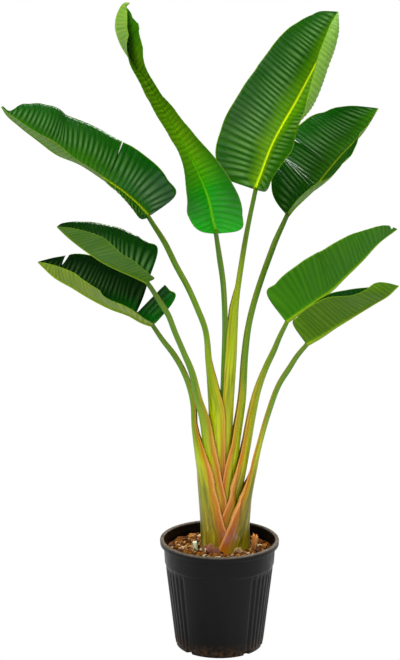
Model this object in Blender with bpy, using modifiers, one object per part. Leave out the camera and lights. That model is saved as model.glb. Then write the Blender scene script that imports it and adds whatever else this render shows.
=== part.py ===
"""A potted bird of paradise: eight long-stalked leaves in a black nursery pot.

Everything is in metres with +Z up.  The origin is the centre of the pot's flat
underside, +X runs along the plant's fan of leaves and +Y is across the fan,
away from the side the plant is shown from.

The leaf stalks grow from one crown in two opposite ranks.  Low down each stalk
is a sheath that wraps the stalks inside it, so the clump is built like an
onion: at any height every sheath is a layer laid on the layers within it.
Higher up a sheath opens, lifts away and closes into a channelled stalk.
"""
import math

import bmesh
import bpy
import numpy as np
from mathutils import Matrix

# ---------------------------------------------------------------- the pot
POT_HEIGHT = 0.242
RIM_RADIUS = 0.130
RIM_DEPTH = 0.012
RIM_WIDTH = 0.0085
COLLAR_RADIUS = 0.1195
COLLAR_DEPTH = 0.054
SHOULDER_RADIUS = 0.1175
FOOT_RADIUS = 0.0955
FOOT_ROUNDING = 0.006
WALL = 0.0025
FLOOR_THICKNESS = 0.003
POT_SEGMENTS = 56
PANELS = 3
PANEL_FRONT = -93
DRAIN_ANGLES = (-41, 41)
DRAIN_SIZE = (0.022, 0.014, 0.011)

# ---------------------------------------------------------------- the mix
MIX_TOP = 0.216
CLUMP_DEPTH = 0.028
STUB_CLEARANCE = 0.0022
POCKET_GAP = 0.002
MIX_FLAT_RADIUS = 0.105
MIX_EDGE_DROP = 0.003
COLLAR_FLARE = 0.13
GAP = 0.0004

# ------------------------------------------------- the clump of leaf stalks
LAYER_GAP = 0.0016
LAYER_OVERRUN = math.radians(28)
HEART_MARGIN = 0.002
SHEATH_EDGE = 0.0013
SHEATH_FALL = 2.4
STALK_SECTIONS = 19
ARC_POINTS = 13
WRAP_LIMIT = 108
CHANNEL_OPEN = 0.024
CHANNEL_SHUT = 0.0122
STALK_SHIFT = 0.0010
STALK_LEAN = 1.6
CHANNEL_TURN = math.radians(105)
CHANNEL_WALL_SHARE = 0.35
CHANNEL_WALL_MOST = 0.006
CHANNEL_BULGE = 0.25
CHANNEL_FLOOR_SHARE = 0.80
MARGIN_DROP = 0.0006

# Each stalk, from the innermost out: which rank it stands in, how thick its
# back is at the crown, its spine, how far its sheath wraps to either side at
# each height, where it turns from sheath to free stalk, and how deep the open
# channel is from back to edge.
STALKS = [
    dict(
        name="4", side=-1, back=0.014,
        spine=[(0.007, 0, 0.188), (0.007, 0, 0.360), (0.0065, 0, 0.510), (0.009, 0, 0.610),
               (0.0115, -0.001, 0.710), (0.0105, -0.006, 0.760), (0.007, -0.012, 0.813),
               (-0.001, -0.022, 0.870), (-0.009, -0.030, 0.925)],
        wrap=None, free=(0.0, 0.1), reach=[(0.188, 0.0125), (0.865, 0.0118), (0.925, 0.009)],
        breadth=[(0.188, 0.0058), (0.710, 0.0048), (0.865, 0.0058), (0.925, 0.0046)],
    ),
    dict(
        name="5", side=1, back=0.008,
        spine=[(0.0145, 0, 0.188), (0.0155, 0, 0.310), (0.018, 0, 0.374), (0.0225, 0, 0.465),
               (0.0265, 0, 0.554), (0.0315, 0.003, 0.638), (0.034, 0.006, 0.710),
               (0.037, 0.010, 0.778), (0.046, 0.015, 0.847), (0.059, 0.020, 0.928),
               (0.074, 0.020, 1.005)],
        wrap=[(0.188, 165), (0.460, 120), (0.577, 93), (0.700, 80), (0.750, 62)],
        free=(0.610, 0.710), reach=[(0.577, 0.026), (0.700, 0.024), (0.750, 0.020), (0.800, 0.0115),
                                  (1.005, 0.009)],
        breadth=[(0.610, 0.0135), (0.710, 0.0125), (0.800, 0.0062), (1.005, 0.0056)],
    ),
    dict(
        name="3", side=-1, back=0.010,
        spine=[(-0.007, 0, 0.188), (-0.009, 0, 0.310), (-0.013, 0, 0.390), (-0.0165, 0, 0.465),
               (-0.0205, 0, 0.554), (-0.0255, 0, 0.640), (-0.032, 0, 0.710), (-0.048, 0, 0.753),
               (-0.068, 0, 0.799), (-0.092, 0, 0.844), (-0.118, 0, 0.898), (-0.150, 0, 0.951)],
        wrap=[(0.188, 165), (0.460, 123), (0.538, 98), (0.576, 68), (0.640, 45)],
        free=(0.540, 0.620), reach=[(0.540, 0.030), (0.576, 0.025), (0.640, 0.0145), (0.700, 0.0122),
                                  (0.891, 0.0118), (0.951, 0.009)],
        breadth=[(0.540, 0.016), (0.610, 0.011), (0.700, 0.0070), (0.891, 0.0058), (0.951, 0.0046)],
    ),
    dict(
        name="6", side=1, back=0.010,
        spine=[(0.026, 0, 0.188), (0.027, 0, 0.290), (0.031, 0, 0.374), (0.040, 0.004, 0.465),
               (0.051, 0.012, 0.554), (0.0555, 0.022, 0.650), (0.0625, 0.032, 0.710),
               (0.0735, 0.040, 0.757), (0.088, 0.045, 0.805), (0.106, 0.050, 0.856),
               (0.123, 0.055, 0.901), (0.143, 0.060, 0.946)],
        wrap=[(0.188, 165), (0.310, 120), (0.380, 90), (0.440, 62), (0.467, 46)],
        free=(0.410, 0.490), reach=[(0.467, 0.020), (0.520, 0.018), (0.640, 0.014), (0.710, 0.0122),
                                  (0.886, 0.0118), (0.946, 0.009)],
        breadth=[(0.410, 0.018), (0.520, 0.012), (0.710, 0.0070), (0.886, 0.0058), (0.946, 0.0046)],
    ),
    dict(
        name="2", side=-1, back=0.0115,
        spine=[(-0.0195, 0, 0.188), (-0.0225, 0, 0.290), (-0.0285, 0, 0.374),
               (-0.0325, -0.004, 0.465), (-0.0395, -0.012, 0.520), (-0.050, -0.018, 0.565),
               (-0.0605, -0.027, 0.622), (-0.077, -0.037, 0.668), (-0.095, -0.045, 0.714),
               (-0.109, -0.050, 0.752), (-0.127, -0.055, 0.782), (-0.144, -0.060, 0.811),
               (-0.153, -0.060, 0.8235)],
        wrap=[(0.188, 165), (0.310, 120), (0.374, 88), (0.422, 69), (0.471, 51), (0.530, 40)],
        free=(0.440, 0.530), reach=[(0.471, 0.026), (0.531, 0.020), (0.563, 0.017), (0.610, 0.014),
                                  (0.670, 0.0122), (0.764, 0.0118), (0.8235, 0.009)],
        breadth=[(0.440, 0.018), (0.530, 0.012), (0.670, 0.0070), (0.764, 0.0058), (0.8235, 0.0046)],
    ),
    dict(
        name="7", side=1, back=0.012,
        spine=[(0.039, 0, 0.188), (0.040, 0, 0.290), (0.0445, 0, 0.354), (0.0525, 0.001, 0.400),
               (0.0625, 0.005, 0.460), (0.072, 0.011, 0.518), (0.084, 0.018, 0.576),
               (0.100, 0.024, 0.622), (0.116, 0.030, 0.656), (0.127, 0.030, 0.684),
               (0.143, 0.030, 0.718)],
        wrap=[(0.188, 165), (0.280, 110), (0.338, 65), (0.399, 47)],
        free=(0.360, 0.440), reach=[(0.399, 0.0225), (0.467, 0.0195), (0.527, 0.018),
                                  (0.576, 0.015), (0.620, 0.0122), (0.658, 0.0118), (0.718, 0.009)],
        breadth=[(0.360, 0.019), (0.467, 0.012), (0.576, 0.0085), (0.658, 0.0058), (0.718, 0.0046)],
    ),
    dict(
        name="1", side=-1, back=0.013,
        spine=[(-0.0335, 0, 0.188), (-0.0355, 0, 0.283), (-0.038, 0, 0.358), (-0.0475, 0.002, 0.430),
               (-0.0540, 0.006, 0.498), (-0.057, 0.014, 0.545), (-0.067, 0.021, 0.585),
               (-0.081, 0.026, 0.618), (-0.099, 0.030, 0.648), (-0.123, 0.030, 0.680),
               (-0.144, 0.030, 0.712)],
        wrap=[(0.188, 165), (0.240, 125), (0.281, 95), (0.358, 64), (0.430, 46)],
        free=(0.390, 0.480), reach=[(0.390, 0.026), (0.430, 0.022), (0.500, 0.0125), (0.554, 0.0122),
                                  (0.652, 0.0118), (0.712, 0.009)],
        breadth=[(0.390, 0.021), (0.430, 0.016), (0.500, 0.0075), (0.554, 0.006),
                 (0.652, 0.0058), (0.712, 0.0046)],
    ),
    dict(
        name="8", side=1, back=0.015,
        spine=[(0.0565, 0, 0.188), (0.0575, 0, 0.260), (0.062, 0, 0.330), (0.073, -0.003, 0.400),
               (0.087, -0.015, 0.470), (0.105, -0.027, 0.540), (0.125, -0.040, 0.600),
               (0.145, -0.050, 0.636), (0.162, -0.055, 0.665), (0.182, -0.060, 0.691)],
        wrap=[(0.188, 125), (0.230, 104), (0.265, 82), (0.310, 58), (0.350, 40)],
        free=(0.310, 0.390), reach=[(0.310, 0.026), (0.360, 0.018), (0.410, 0.0145), (0.460, 0.0120),
                                  (0.631, 0.0118), (0.691, 0.009)],
        breadth=[(0.310, 0.022), (0.360, 0.014), (0.460, 0.0078), (0.631, 0.0058), (0.691, 0.0046)],
    ),
]

# Each leaf blade: its midrib, the way its upper face looks at shares of its
# length, and for the half to the left and the half to the right of the midrib
# (seen from above, looking to the tip) its breadth, the angle it is folded up
# from flat, how far it curls on towards its margin, all at shares of the
# blade's length, and how far its base is swept back in a lobe.
BLADES = [
    dict(
        name="1",
        rib=[(-0.143, 0.030, 0.712), (-0.164, 0.033, 0.718), (-0.193, 0.040, 0.732),
             (-0.235, 0.055, 0.744), (-0.280, 0.070, 0.763), (-0.319, 0.085, 0.783),
             (-0.358, 0.100, 0.802), (-0.395, 0.110, 0.834)],
        up=[(0, 0.25, -0.15, 1), (1, 0.30, -0.20, 1)],
        left=dict(breadth=[(0, 0.006), (0.03, 0.040), (0.10, 0.069), (0.25, 0.084), (0.45, 0.084),
                           (0.65, 0.071), (0.80, 0.050), (0.92, 0.026), (1, 0.002)],
                  fold=[(0, 20), (0.10, 25), (0.25, 27), (0.40, 37), (0.65, 43), (0.80, 51), (1, 55)],
                  curl=[(0, 8), (1, 8)]),
        right=dict(breadth=[(0, 0.006), (0.03, 0.058), (0.10, 0.088), (0.25, 0.097), (0.45, 0.096),
                            (0.65, 0.082), (0.80, 0.062), (0.92, 0.034), (1, 0.002)],
                   fold=[(0, 66), (0.25, 65), (0.45, 60), (0.65, 53), (0.80, 55), (1, 56)],
                   curl=[(0, 8), (1, 8)], lobe=0.80),
    ),
    dict(
        name="2",
        rib=[(-0.152, -0.060, 0.824), (-0.180, -0.070, 0.839), (-0.208, -0.085, 0.854),
             (-0.240, -0.105, 0.874), (-0.267, -0.130, 0.897), (-0.290, -0.150, 0.918),
             (-0.308, -0.170, 0.937), (-0.327, -0.200, 0.962)],
        up=[(0, 0.30, 0.10, 1), (1, 0.40, 0.10, 1)],
        left=dict(breadth=[(0, 0.006), (0.03, 0.034), (0.10, 0.055), (0.20, 0.068), (0.35, 0.075),
                           (0.60, 0.075), (0.78, 0.068), (0.90, 0.046), (0.96, 0.026), (1, 0.002)],
                  fold=[(0, 18), (0.30, 20), (0.50, 20), (0.65, 26), (0.80, 24), (1, 22)],
                  curl=[(0, 8), (1, 8)]),
        right=dict(breadth=[(0, 0.006), (0.03, 0.064), (0.10, 0.086), (0.20, 0.095), (0.35, 0.091),
                            (0.50, 0.082), (0.70, 0.058), (0.85, 0.032), (0.95, 0.013), (1, 0.002)],
                   fold=[(0, 64), (0.10, 58), (0.30, 51), (0.50, 48), (0.70, 43), (1, 44)],
                   curl=[(0, 8), (1, 8)], lobe=0.32),
    ),
    dict(
        name="3",
        rib=[(-0.150, 0.000, 0.953), (-0.171, -0.010, 0.978), (-0.195, -0.020, 1.001),
             (-0.242, -0.035, 1.037), (-0.290, -0.055, 1.071), (-0.337, -0.075, 1.094),
             (-0.371, -0.090, 1.122), (-0.411, -0.100, 1.155), (-0.434, -0.105, 1.177),
             (-0.443, -0.105, 1.192)],
        up=[(0, 0.5, -0.45, 0.7), (0.3, 0.5, -0.30, 0.8), (1, 0.4, -0.2, 0.85)],
        left=dict(breadth=[(0, 0.006), (0.03, 0.030), (0.10, 0.058), (0.20, 0.076), (0.40, 0.085),
                           (0.60, 0.076), (0.80, 0.052), (0.92, 0.028), (1, 0.002)],
                  fold=[(0, 0), (0.10, 4), (0.20, 12), (0.35, 18), (0.50, 19), (0.65, 26),
                        (0.90, 31), (1, 34)],
                  curl=[(0, 8), (1, 8)], lobe=0.05),
        right=dict(breadth=[(0, 0.006), (0.03, 0.061), (0.10, 0.083), (0.20, 0.088), (0.35, 0.092),
                            (0.60, 0.094), (0.75, 0.085), (0.86, 0.062), (0.92, 0.036), (0.95, 0.014),
                            (1, 0.003)],
                   fold=[(0, 82), (0.10, 82), (0.25, 67), (0.50, 55), (0.70, 60), (1, 60)],
                   curl=[(0, -10), (0.3, -30), (1, -40)]),
    ),
    dict(
        name="4",
        rib=[(-0.009, -0.030, 0.922), (-0.015, -0.037, 0.946), (-0.026, -0.050, 0.998),
             (-0.045, -0.055, 1.047), (-0.067, -0.055, 1.092), (-0.092, -0.050, 1.136),
             (-0.118, -0.045, 1.180), (-0.148, -0.040, 1.232), (-0.182, -0.035, 1.278),
             (-0.206, -0.030, 1.316), (-0.215, -0.030, 1.349), (-0.209, -0.030, 1.377),
             (-0.195, -0.030, 1.395), (-0.186, -0.030, 1.395)],
        up=[(0, 0.10, -1, 0.1), (0.5, 0.15, -1, 0.2), (0.75, 0.30, -0.95, 0.2), (1, 0.5, -0.85, 0)],
        left=dict(breadth=[(0, 0.006), (0.03, 0.036), (0.10, 0.057), (0.20, 0.060), (0.35, 0.056),
                           (0.60, 0.052), (0.75, 0.056), (0.85, 0.050), (0.93, 0.032), (1, 0.002)],
                  fold=[(0, 40), (0.10, 26), (0.20, 43), (0.30, 60), (0.50, 62), (0.60, 58),
                        (0.70, 64), (0.80, 85), (0.90, 100), (1, 118)],
                  curl=[(0, 5), (1, 5)], lobe=0.0),
        right=dict(breadth=[(0, 0.006), (0.03, 0.048), (0.10, 0.070), (0.20, 0.076), (0.35, 0.066),
                            (0.60, 0.054), (0.75, 0.062), (0.85, 0.056), (0.93, 0.036), (1, 0.002)],
                   fold=[(0, 16), (0.10, 22), (0.20, 40), (0.30, 51), (0.40, 65), (0.50, 74),
                         (0.60, 85), (0.70, 80), (0.80, 55), (0.90, 38), (1, 38)],
                   curl=[(0, 25), (1, 5)], lobe=0.48),
    ),
    dict(
        name="5",
        rib=[(0.074, 0.020, 1.007), (0.086, 0.020, 1.039), (0.108, 0.025, 1.097),
             (0.133, 0.030, 1.146), (0.154, 0.040, 1.182), (0.180, 0.050, 1.229),
             (0.201, 0.060, 1.268), (0.222, 0.070, 1.308), (0.235, 0.080, 1.339), (0.247, 0.085, 1.372)],
        up=[(0, -0.10, -1, 0.15), (0.5, -0.12, -1, 0.22), (1, -0.15, -1, 0.30)],
        left=dict(breadth=[(0, 0.006), (0.03, 0.070), (0.10, 0.104), (0.20, 0.114), (0.35, 0.119),
                           (0.55, 0.114), (0.70, 0.101), (0.82, 0.079), (0.92, 0.052), (0.97, 0.031),
                           (1, 0.002)],
                  fold=[(0, 3), (0.20, 8), (0.30, 16), (0.50, 27), (0.65, 30), (0.80, 22), (0.92, 8),
                        (1, 5)],
                  curl=[(0, 8), (1, 8)]),
        right=dict(breadth=[(0, 0.006), (0.03, 0.056), (0.10, 0.081), (0.20, 0.096), (0.30, 0.100),
                            (0.60, 0.096), (0.70, 0.090), (0.80, 0.079), (0.92, 0.048), (1, 0.002)],
                   fold=[(0, 60), (0.10, 68), (0.20, 66), (0.30, 57), (0.37, 42), (0.44, 14),
                         (0.52, -5), (0.70, 0), (1, 5)],
                   curl=[(0, 5), (0.30, 12), (0.37, 50), (0.44, 110), (0.52, 155), (0.70, 172),
                         (1, 180)], lobe=0.20),
    ),
    dict(
        name="6",
        rib=[(0.144, 0.060, 0.946), (0.158, 0.070, 0.961), (0.181, 0.085, 0.980),
             (0.207, 0.100, 1.002), (0.229, 0.120, 1.026), (0.262, 0.145, 1.061),
             (0.291, 0.165, 1.088), (0.312, 0.180, 1.109), (0.331, 0.195, 1.134), (0.347, 0.210, 1.158)],
        up=[(0, -0.45, -0.6, 0.6), (0.5, -0.45, -0.6, 0.6), (1, -0.5, -0.6, 0.7)],
        left=dict(breadth=[(0, 0.006), (0.03, 0.036), (0.10, 0.080), (0.20, 0.106), (0.35, 0.121),
                           (0.60, 0.136), (0.80, 0.124), (0.90, 0.096), (0.96, 0.057), (1, 0.002)],
                  fold=[(0, 10), (0.10, 30), (0.20, 27), (0.40, 18), (0.60, 7), (0.80, 2), (1, 4)],
                  curl=[(0, 5), (1, 5)], lobe=0.10),
        right=dict(breadth=[(0, 0.006), (0.03, 0.050), (0.10, 0.083), (0.20, 0.105), (0.45, 0.111),
                            (0.60, 0.090), (0.80, 0.036), (0.92, 0.014), (1, 0.002)],
                   fold=[(0, 45), (0.15, 44), (0.30, 37), (0.45, 33), (0.60, 36), (0.80, 42), (1, 40)],
                   curl=[(0, 15), (1, 15)]),
    ),
    dict(
        name="7",
        rib=[(0.143, 0.030, 0.719), (0.172, 0.035, 0.739), (0.209, 0.050, 0.763),
             (0.240, 0.065, 0.781), (0.269, 0.080, 0.806), (0.311, 0.105, 0.841),
             (0.346, 0.125, 0.874), (0.388, 0.150, 0.900)],
        up=[(0, -0.3, 0.1, 1), (1, -0.35, 0.15, 1)],
        left=dict(breadth=[(0, 0.006), (0.03, 0.046), (0.10, 0.066), (0.30, 0.080), (0.50, 0.070),
                           (0.70, 0.048), (0.85, 0.027), (0.95, 0.012), (1, 0.002)],
                  fold=[(0, 60), (0.30, 58), (0.60, 50), (1, 44)],
                  curl=[(0, 8), (1, 8)]),
        right=dict(breadth=[(0, 0.006), (0.03, 0.062), (0.10, 0.084), (0.20, 0.097), (0.35, 0.101),
                            (0.50, 0.092), (0.65, 0.077), (0.80, 0.053), (0.92, 0.028), (1, 0.002)],
                   fold=[(0, 84), (0.10, 80), (0.20, 70), (0.35, 64), (0.50, 58), (0.70, 55),
                         (0.90, 47), (1, 50)],
                   curl=[(0, 8), (1, 8)]),
    ),
    dict(
        name="8",
        rib=[(0.182, -0.060, 0.691), (0.209, -0.070, 0.709), (0.238, -0.085, 0.733),
             (0.264, -0.100, 0.753), (0.291, -0.120, 0.775), (0.317, -0.140, 0.796),
             (0.340, -0.160, 0.815), (0.358, -0.180, 0.838)],
        up=[(0, -0.35, -0.1, 1), (1, -0.35, -0.1, 1)],
        left=dict(breadth=[(0, 0.006), (0.03, 0.040), (0.10, 0.056), (0.30, 0.068), (0.50, 0.055),
                           (0.70, 0.037), (0.85, 0.022), (0.95, 0.010), (1, 0.002)],
                  fold=[(0, 62), (0.30, 60), (0.60, 52), (1, 46)],
                  curl=[(0, 8), (1, 8)]),
        right=dict(breadth=[(0, 0.006), (0.03, 0.050), (0.10, 0.070), (0.20, 0.081), (0.35, 0.086),
                            (0.50, 0.082), (0.65, 0.071), (0.80, 0.052), (0.92, 0.034), (1, 0.002)],
                   fold=[(0, 70), (0.10, 67), (0.20, 59), (0.40, 53), (0.60, 42), (0.70, 39),
                         (0.80, 43), (0.92, 62), (1, 75)],
                   curl=[(0, 8), (1, 8)], lobe=0.25),
    ),
]
BLADE_ROWS = 18
BLADE_FINE = 200
BLADE_CROWDING = 1.2
BLADE_COLUMNS = 4
BLADE_THICKNESS = 0.0060
BLADE_EDGE_SHARE = 0.25
BLADE_TIP_SHARE = 0.25
BLADE_END_BREADTH = 0.0035
BLADE_SLANT = 0.12
BLADE_LOBE = 0.35
LOBE_LENGTH = 0.12
STRAIGHT = 0.001
BLADE_CLEARANCE = 0.004

# What is left of older leaves round the crown: two cut stubs, each a path and a
# radius, and two torn sheaths, each the turns and heights between which it
# stands against the clump.
STUBS = [
    dict(
        name="green_stalk_stub", kind="fresh", radius=0.0048,
        path=[(-0.050, -0.010, 0.0), (-0.052, -0.012, 0.010), (-0.055, -0.013, 0.019)],
    ),
    dict(
        name="dried_stalk_stub", kind="dry", radius=0.0062,
        path=[(0.074, -0.008, 0.0), (0.075, -0.010, 0.016), (0.078, -0.011, 0.032)],
    ),
]
TORN_SHEATHS = [
    dict(name="outer_sheath_remnant", turns=(212, 262), heights=(0.0, 0.030), lean=0.004),
    dict(name="dry_sheath_scrap", turns=(296, 312), heights=(0.0, 0.024), lean=0.006),
]
TORN_THICKNESS = 0.0022
TORN_CLEARANCE = 0.0026
TORN_ROWS = 5
TORN_POINTS = 7
TORN_TAPER = 0.55

# Bark chips lying on the mix: centre, size and turn about the upright.
CHIP_WEAR = 0.0018
CHIPS = [
    ((-0.082, 0.062), (0.024, 0.012, 0.006), 20),
    ((-0.060, 0.080), (0.018, 0.010, 0.007), -35),
    ((-0.088, -0.022), (0.020, 0.013, 0.007), 75),
    ((-0.052, -0.068), (0.022, 0.011, 0.006), 10),
    ((0.012, -0.092), (0.019, 0.012, 0.007), -20),
    ((0.072, -0.058), (0.023, 0.012, 0.006), 40),
    ((0.098, 0.010), (0.018, 0.011, 0.007), 95),
    ((0.046, 0.086), (0.021, 0.012, 0.006), -10),
]

COLOURS = {
    "pot": (0.012, 0.012, 0.011, 0.35),
    "mix": (0.18, 0.07, 0.02, 0.95),
    "stalk": (0.30, 0.42, 0.05, 0.40),
    "blade": (0.06, 0.25, 0.02, 0.30),
    "dry": (0.42, 0.24, 0.10, 0.80),
    "fresh": (0.60, 0.65, 0.40, 0.60),
    "bark": (0.30, 0.13, 0.05, 0.90),
}


def clear_scene():
    """Remove every object that the new file came with."""
    for thing in list(bpy.data.objects):
        bpy.data.objects.remove(thing, do_unlink=True)


def make_collection(name):
    """A collection of the scene's own."""
    group = bpy.data.collections.new(name)
    bpy.context.scene.collection.children.link(group)
    return group


def make_material(name, kind):
    """A Principled material of one of the plant's kinds of surface."""
    red, green, blue, roughness = COLOURS[kind]
    material = bpy.data.materials.new(name)
    material.use_nodes = True
    shader = material.node_tree.nodes["Principled BSDF"]
    shader.inputs["Base Color"].default_value = (red, green, blue, 1.0)
    shader.inputs["Roughness"].default_value = roughness
    material.diffuse_color = (red, green, blue, 1.0)
    return material


def add_object(name, mesh, kind, group):
    """Put a mesh in the scene as one named, smooth-shaded sub-part."""
    thing = bpy.data.objects.new(name, mesh)
    group.objects.link(thing)
    mesh.shade_smooth()
    mesh.set_sharp_from_angle(angle=math.radians(40))
    mesh.materials.append(make_material(name + "_surface", kind))
    return thing


def mesh_from(name, points, faces):
    """A mesh from points and faces, with its normals turned outwards."""
    mesh = bpy.data.meshes.new(name)
    mesh.from_pydata([tuple(point) for point in points], [], faces)
    shape = bmesh.new()
    shape.from_mesh(mesh)
    bmesh.ops.recalc_face_normals(shape, faces=shape.faces)
    shape.to_mesh(mesh)
    shape.free()
    return mesh


def turned(name, profile, kind, group):
    """A turned solid: an open (radius, height) profile swept about the upright axis."""
    mesh = bpy.data.meshes.new(name)
    points = [(radius, 0.0, height) for radius, height in profile]
    mesh.from_pydata(points, [(i, i + 1) for i in range(len(points) - 1)], [])
    thing = add_object(name, mesh, kind, group)
    screw = thing.modifiers.new("turn", "SCREW")
    screw.steps = POT_SEGMENTS
    screw.render_steps = POT_SEGMENTS
    screw.use_merge_vertices = True
    screw.merge_threshold = 0.0001
    return thing


def cut(thing, cutter):
    """Cut a shape out of a sub-part."""
    knife = thing.modifiers.new("cut_" + cutter.name, "BOOLEAN")
    knife.operation = "DIFFERENCE"
    knife.solver = "EXACT"
    knife.object = cutter
    cutter.hide_render = True
    cutter.display_type = "WIRE"


def smooth_path(points, count):
    """Points at even steps along a Catmull-Rom curve through the given ones."""
    knots = np.array(points, float)
    ends = np.vstack([2 * knots[0] - knots[1], knots, 2 * knots[-1] - knots[-2]])
    spans = len(knots) - 1
    fine = np.linspace(0, spans, spans * 24 + 1)
    which = np.minimum(fine.astype(int), spans - 1)
    along = (fine - which)[:, None]
    before, start, finish, after = (ends[which + i] for i in range(4))
    curve = 0.5 * (
        2 * start
        + (finish - before) * along
        + (2 * before - 5 * start + 4 * finish - after) * along ** 2
        + (3 * start - before - 3 * finish + after) * along ** 3
    )
    length = np.concatenate([[0], np.cumsum(np.linalg.norm(np.diff(curve, axis=0), axis=1))])
    steps = np.linspace(0, length[-1], count)
    return np.stack([np.interp(steps, length, curve[:, i]) for i in range(3)], 1)


def unit(vectors):
    """Vectors scaled to length one."""
    return vectors / np.linalg.norm(vectors, axis=-1, keepdims=True)


def along_table(value, pairs):
    """Read a table of (place, amount) pairs, straight between them and held at the ends."""
    places = [pair[0] for pair in pairs]
    amounts = [pair[1] for pair in pairs]
    return np.interp(value, places, amounts)


def bend_difference(angle, towards):
    """The turn from one direction to another, between -pi and pi."""
    return (angle - towards + math.pi) % (2 * math.pi) - math.pi


def wrap_angle(stalk, height):
    """How far a sheath reaches round the clump to either side of its back."""
    return math.radians(min(along_table(height, stalk["wrap"]), WRAP_LIMIT))


class Clump:
    """The layers of the clump at one height, as radii around the crown's axis."""

    DIRECTIONS = np.radians(np.arange(0, 360, 3.0))

    def __init__(self, height):
        self.height = height
        heart = STALKS[0]
        radius = 0.5 * along_table(height, heart["reach"]) + HEART_MARGIN
        self.centre = float(along_table(height, [(p[2], p[0]) for p in heart["spine"]]))
        self.radii = np.full(self.DIRECTIONS.shape, radius)

    def outline(self, angle):
        """The radius of the clump so far in the given directions."""
        wound = np.append(self.DIRECTIONS, 2 * math.pi)
        return np.interp(np.mod(angle, 2 * math.pi), wound, np.append(self.radii, self.radii[0]))

    def layer(self, stalk, swing):
        """Inner and outer radius of one sheath, at turns from its own back."""
        towards = 0.0 if stalk["side"] > 0 else math.pi
        spine = along_table(self.height, [(p[2], p[0]) for p in stalk["spine"]])
        back = stalk["back"]
        inner = self.outline(towards + swing) + LAYER_GAP
        wanted = abs(spine - self.centre) - back / 2
        lift = max(0.0, wanted - float(self.outline(np.array([towards]))[0]) - LAYER_GAP)
        inner = inner + lift * np.cos(swing / 2) ** 6
        body = SHEATH_EDGE + (back - SHEATH_EDGE) * np.cos(swing / 2) ** (2 * SHEATH_FALL)
        return inner, inner + body

    def lay(self, stalk):
        """Add a sheath to the clump, so that the next one goes round it."""
        towards = 0.0 if stalk["side"] > 0 else math.pi
        reach = wrap_angle(stalk, self.height)
        swing = bend_difference(self.DIRECTIONS, towards)
        outer = self.layer(stalk, swing)[1]
        covered = np.where(np.abs(swing) <= reach + LAYER_OVERRUN, outer, 0.0)
        self.radii = np.maximum(self.radii, covered)


def sheath_loop(stalk, height, spread):
    """The closed outline of a sheath at one height: its back, then its inside."""
    clump = Clump(height)
    for other in STALKS[1:]:
        if other is stalk:
            break
        clump.lay(other)
    swing = spread * wrap_angle(stalk, height)
    towards = 0.0 if stalk["side"] > 0 else math.pi
    inner, outer = clump.layer(stalk, swing)
    turn = np.concatenate([towards + swing, towards + swing[::-1]])
    radius = np.concatenate([outer, inner[::-1]])
    level = np.full(turn.shape, height)
    return np.stack([clump.centre + radius * np.cos(turn), radius * np.sin(turn), level], 1)


def stalk_loop(stalk, place, tangent, spread):
    """The outline of a free stalk: a round back and a channel along its inside.

    The back is part of an ellipse.  The inside is a second, smaller ellipse
    while the sheath is open, and nearly fills the first once it has closed.
    """
    outward = np.array([float(stalk["side"]), 0.0, 0.0])
    if abs(tangent[2]) < 0.999:
        lean = np.array([tangent[0], tangent[1], 0.0])
        outward = outward + STALK_LEAN * lean * (1 if stalk["wrap"] else 0)
    across = unit(np.cross(tangent, outward))
    outward = unit(np.cross(across, tangent))
    deep = float(along_table(place[2], stalk["reach"]))
    half = float(along_table(place[2], stalk["breadth"]))
    closed = float(np.clip((CHANNEL_OPEN - deep) / (CHANNEL_OPEN - CHANNEL_SHUT), 0, 1))
    radial = deep / (1 - math.cos(CHANNEL_TURN))
    angle = spread * CHANNEL_TURN
    back_n = radial * np.cos(angle)
    back_s = half * np.sin(angle)
    wall = min(CHANNEL_WALL_SHARE * deep, CHANNEL_WALL_MOST)
    inside_n = (radial - wall) * np.cos(angle)
    inside_s = (half - SHEATH_EDGE) * np.sin(angle)
    shut_n = radial * math.cos(CHANNEL_TURN) + CHANNEL_BULGE * deep * (1 - spread ** 2)
    shut_s = CHANNEL_FLOOR_SHARE * half * math.sin(CHANNEL_TURN) * spread
    inside_n = inside_n + closed * (shut_n - inside_n)
    inside_s = inside_s + closed * (shut_s - inside_s)
    ends = np.abs(spread) > 0.999
    inside_n = np.where(ends & (closed > 0.5), shut_n - MARGIN_DROP, inside_n)
    offset = radial - min(deep, stalk["back"]) / 2 - STALK_SHIFT * closed
    normal = np.concatenate([back_n, inside_n[::-1]]) - offset
    sideways = np.concatenate([back_s, inside_s[::-1]])
    return place + normal[:, None] * outward + sideways[:, None] * across


def stalk_loops(stalk, sections, arc):
    """All the outlines of one stalk, from the crown to the leaf blade."""
    spine = smooth_path(stalk["spine"], sections)
    tangents = unit(np.gradient(spine, axis=0))
    spread = np.linspace(-1, 1, arc)
    start, finish = stalk["free"]
    loops = []
    for place, tangent in zip(spine, tangents):
        share = float(np.clip((place[2] - start) / (finish - start), 0, 1))
        share = share * share * (3 - 2 * share)
        outline = 0.0
        if share > 0:
            outline = share * stalk_loop(stalk, place, tangent, spread)
        if share < 1:
            outline = outline + (1 - share) * sheath_loop(stalk, place[2], spread)
        loops.append(outline)
    return np.array(loops)


def loft(name, loops, kind, group):
    """A closed solid through a row of outlines that all have the same points."""
    rows, count, _ = loops.shape
    first = np.arange(count)
    following = (first + 1) % count
    faces = []
    for row in range(rows - 1):
        low = row * count
        high = low + count
        faces += [
            (low + a, low + b, high + b, high + a) for a, b in zip(first.tolist(), following.tolist())
        ]
    faces.append(tuple(reversed(range(count))))
    faces.append(tuple(range((rows - 1) * count, rows * count)))
    mesh = mesh_from(name, loops.reshape(-1, 3), faces)
    return add_object(name, mesh, kind, group)


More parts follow.
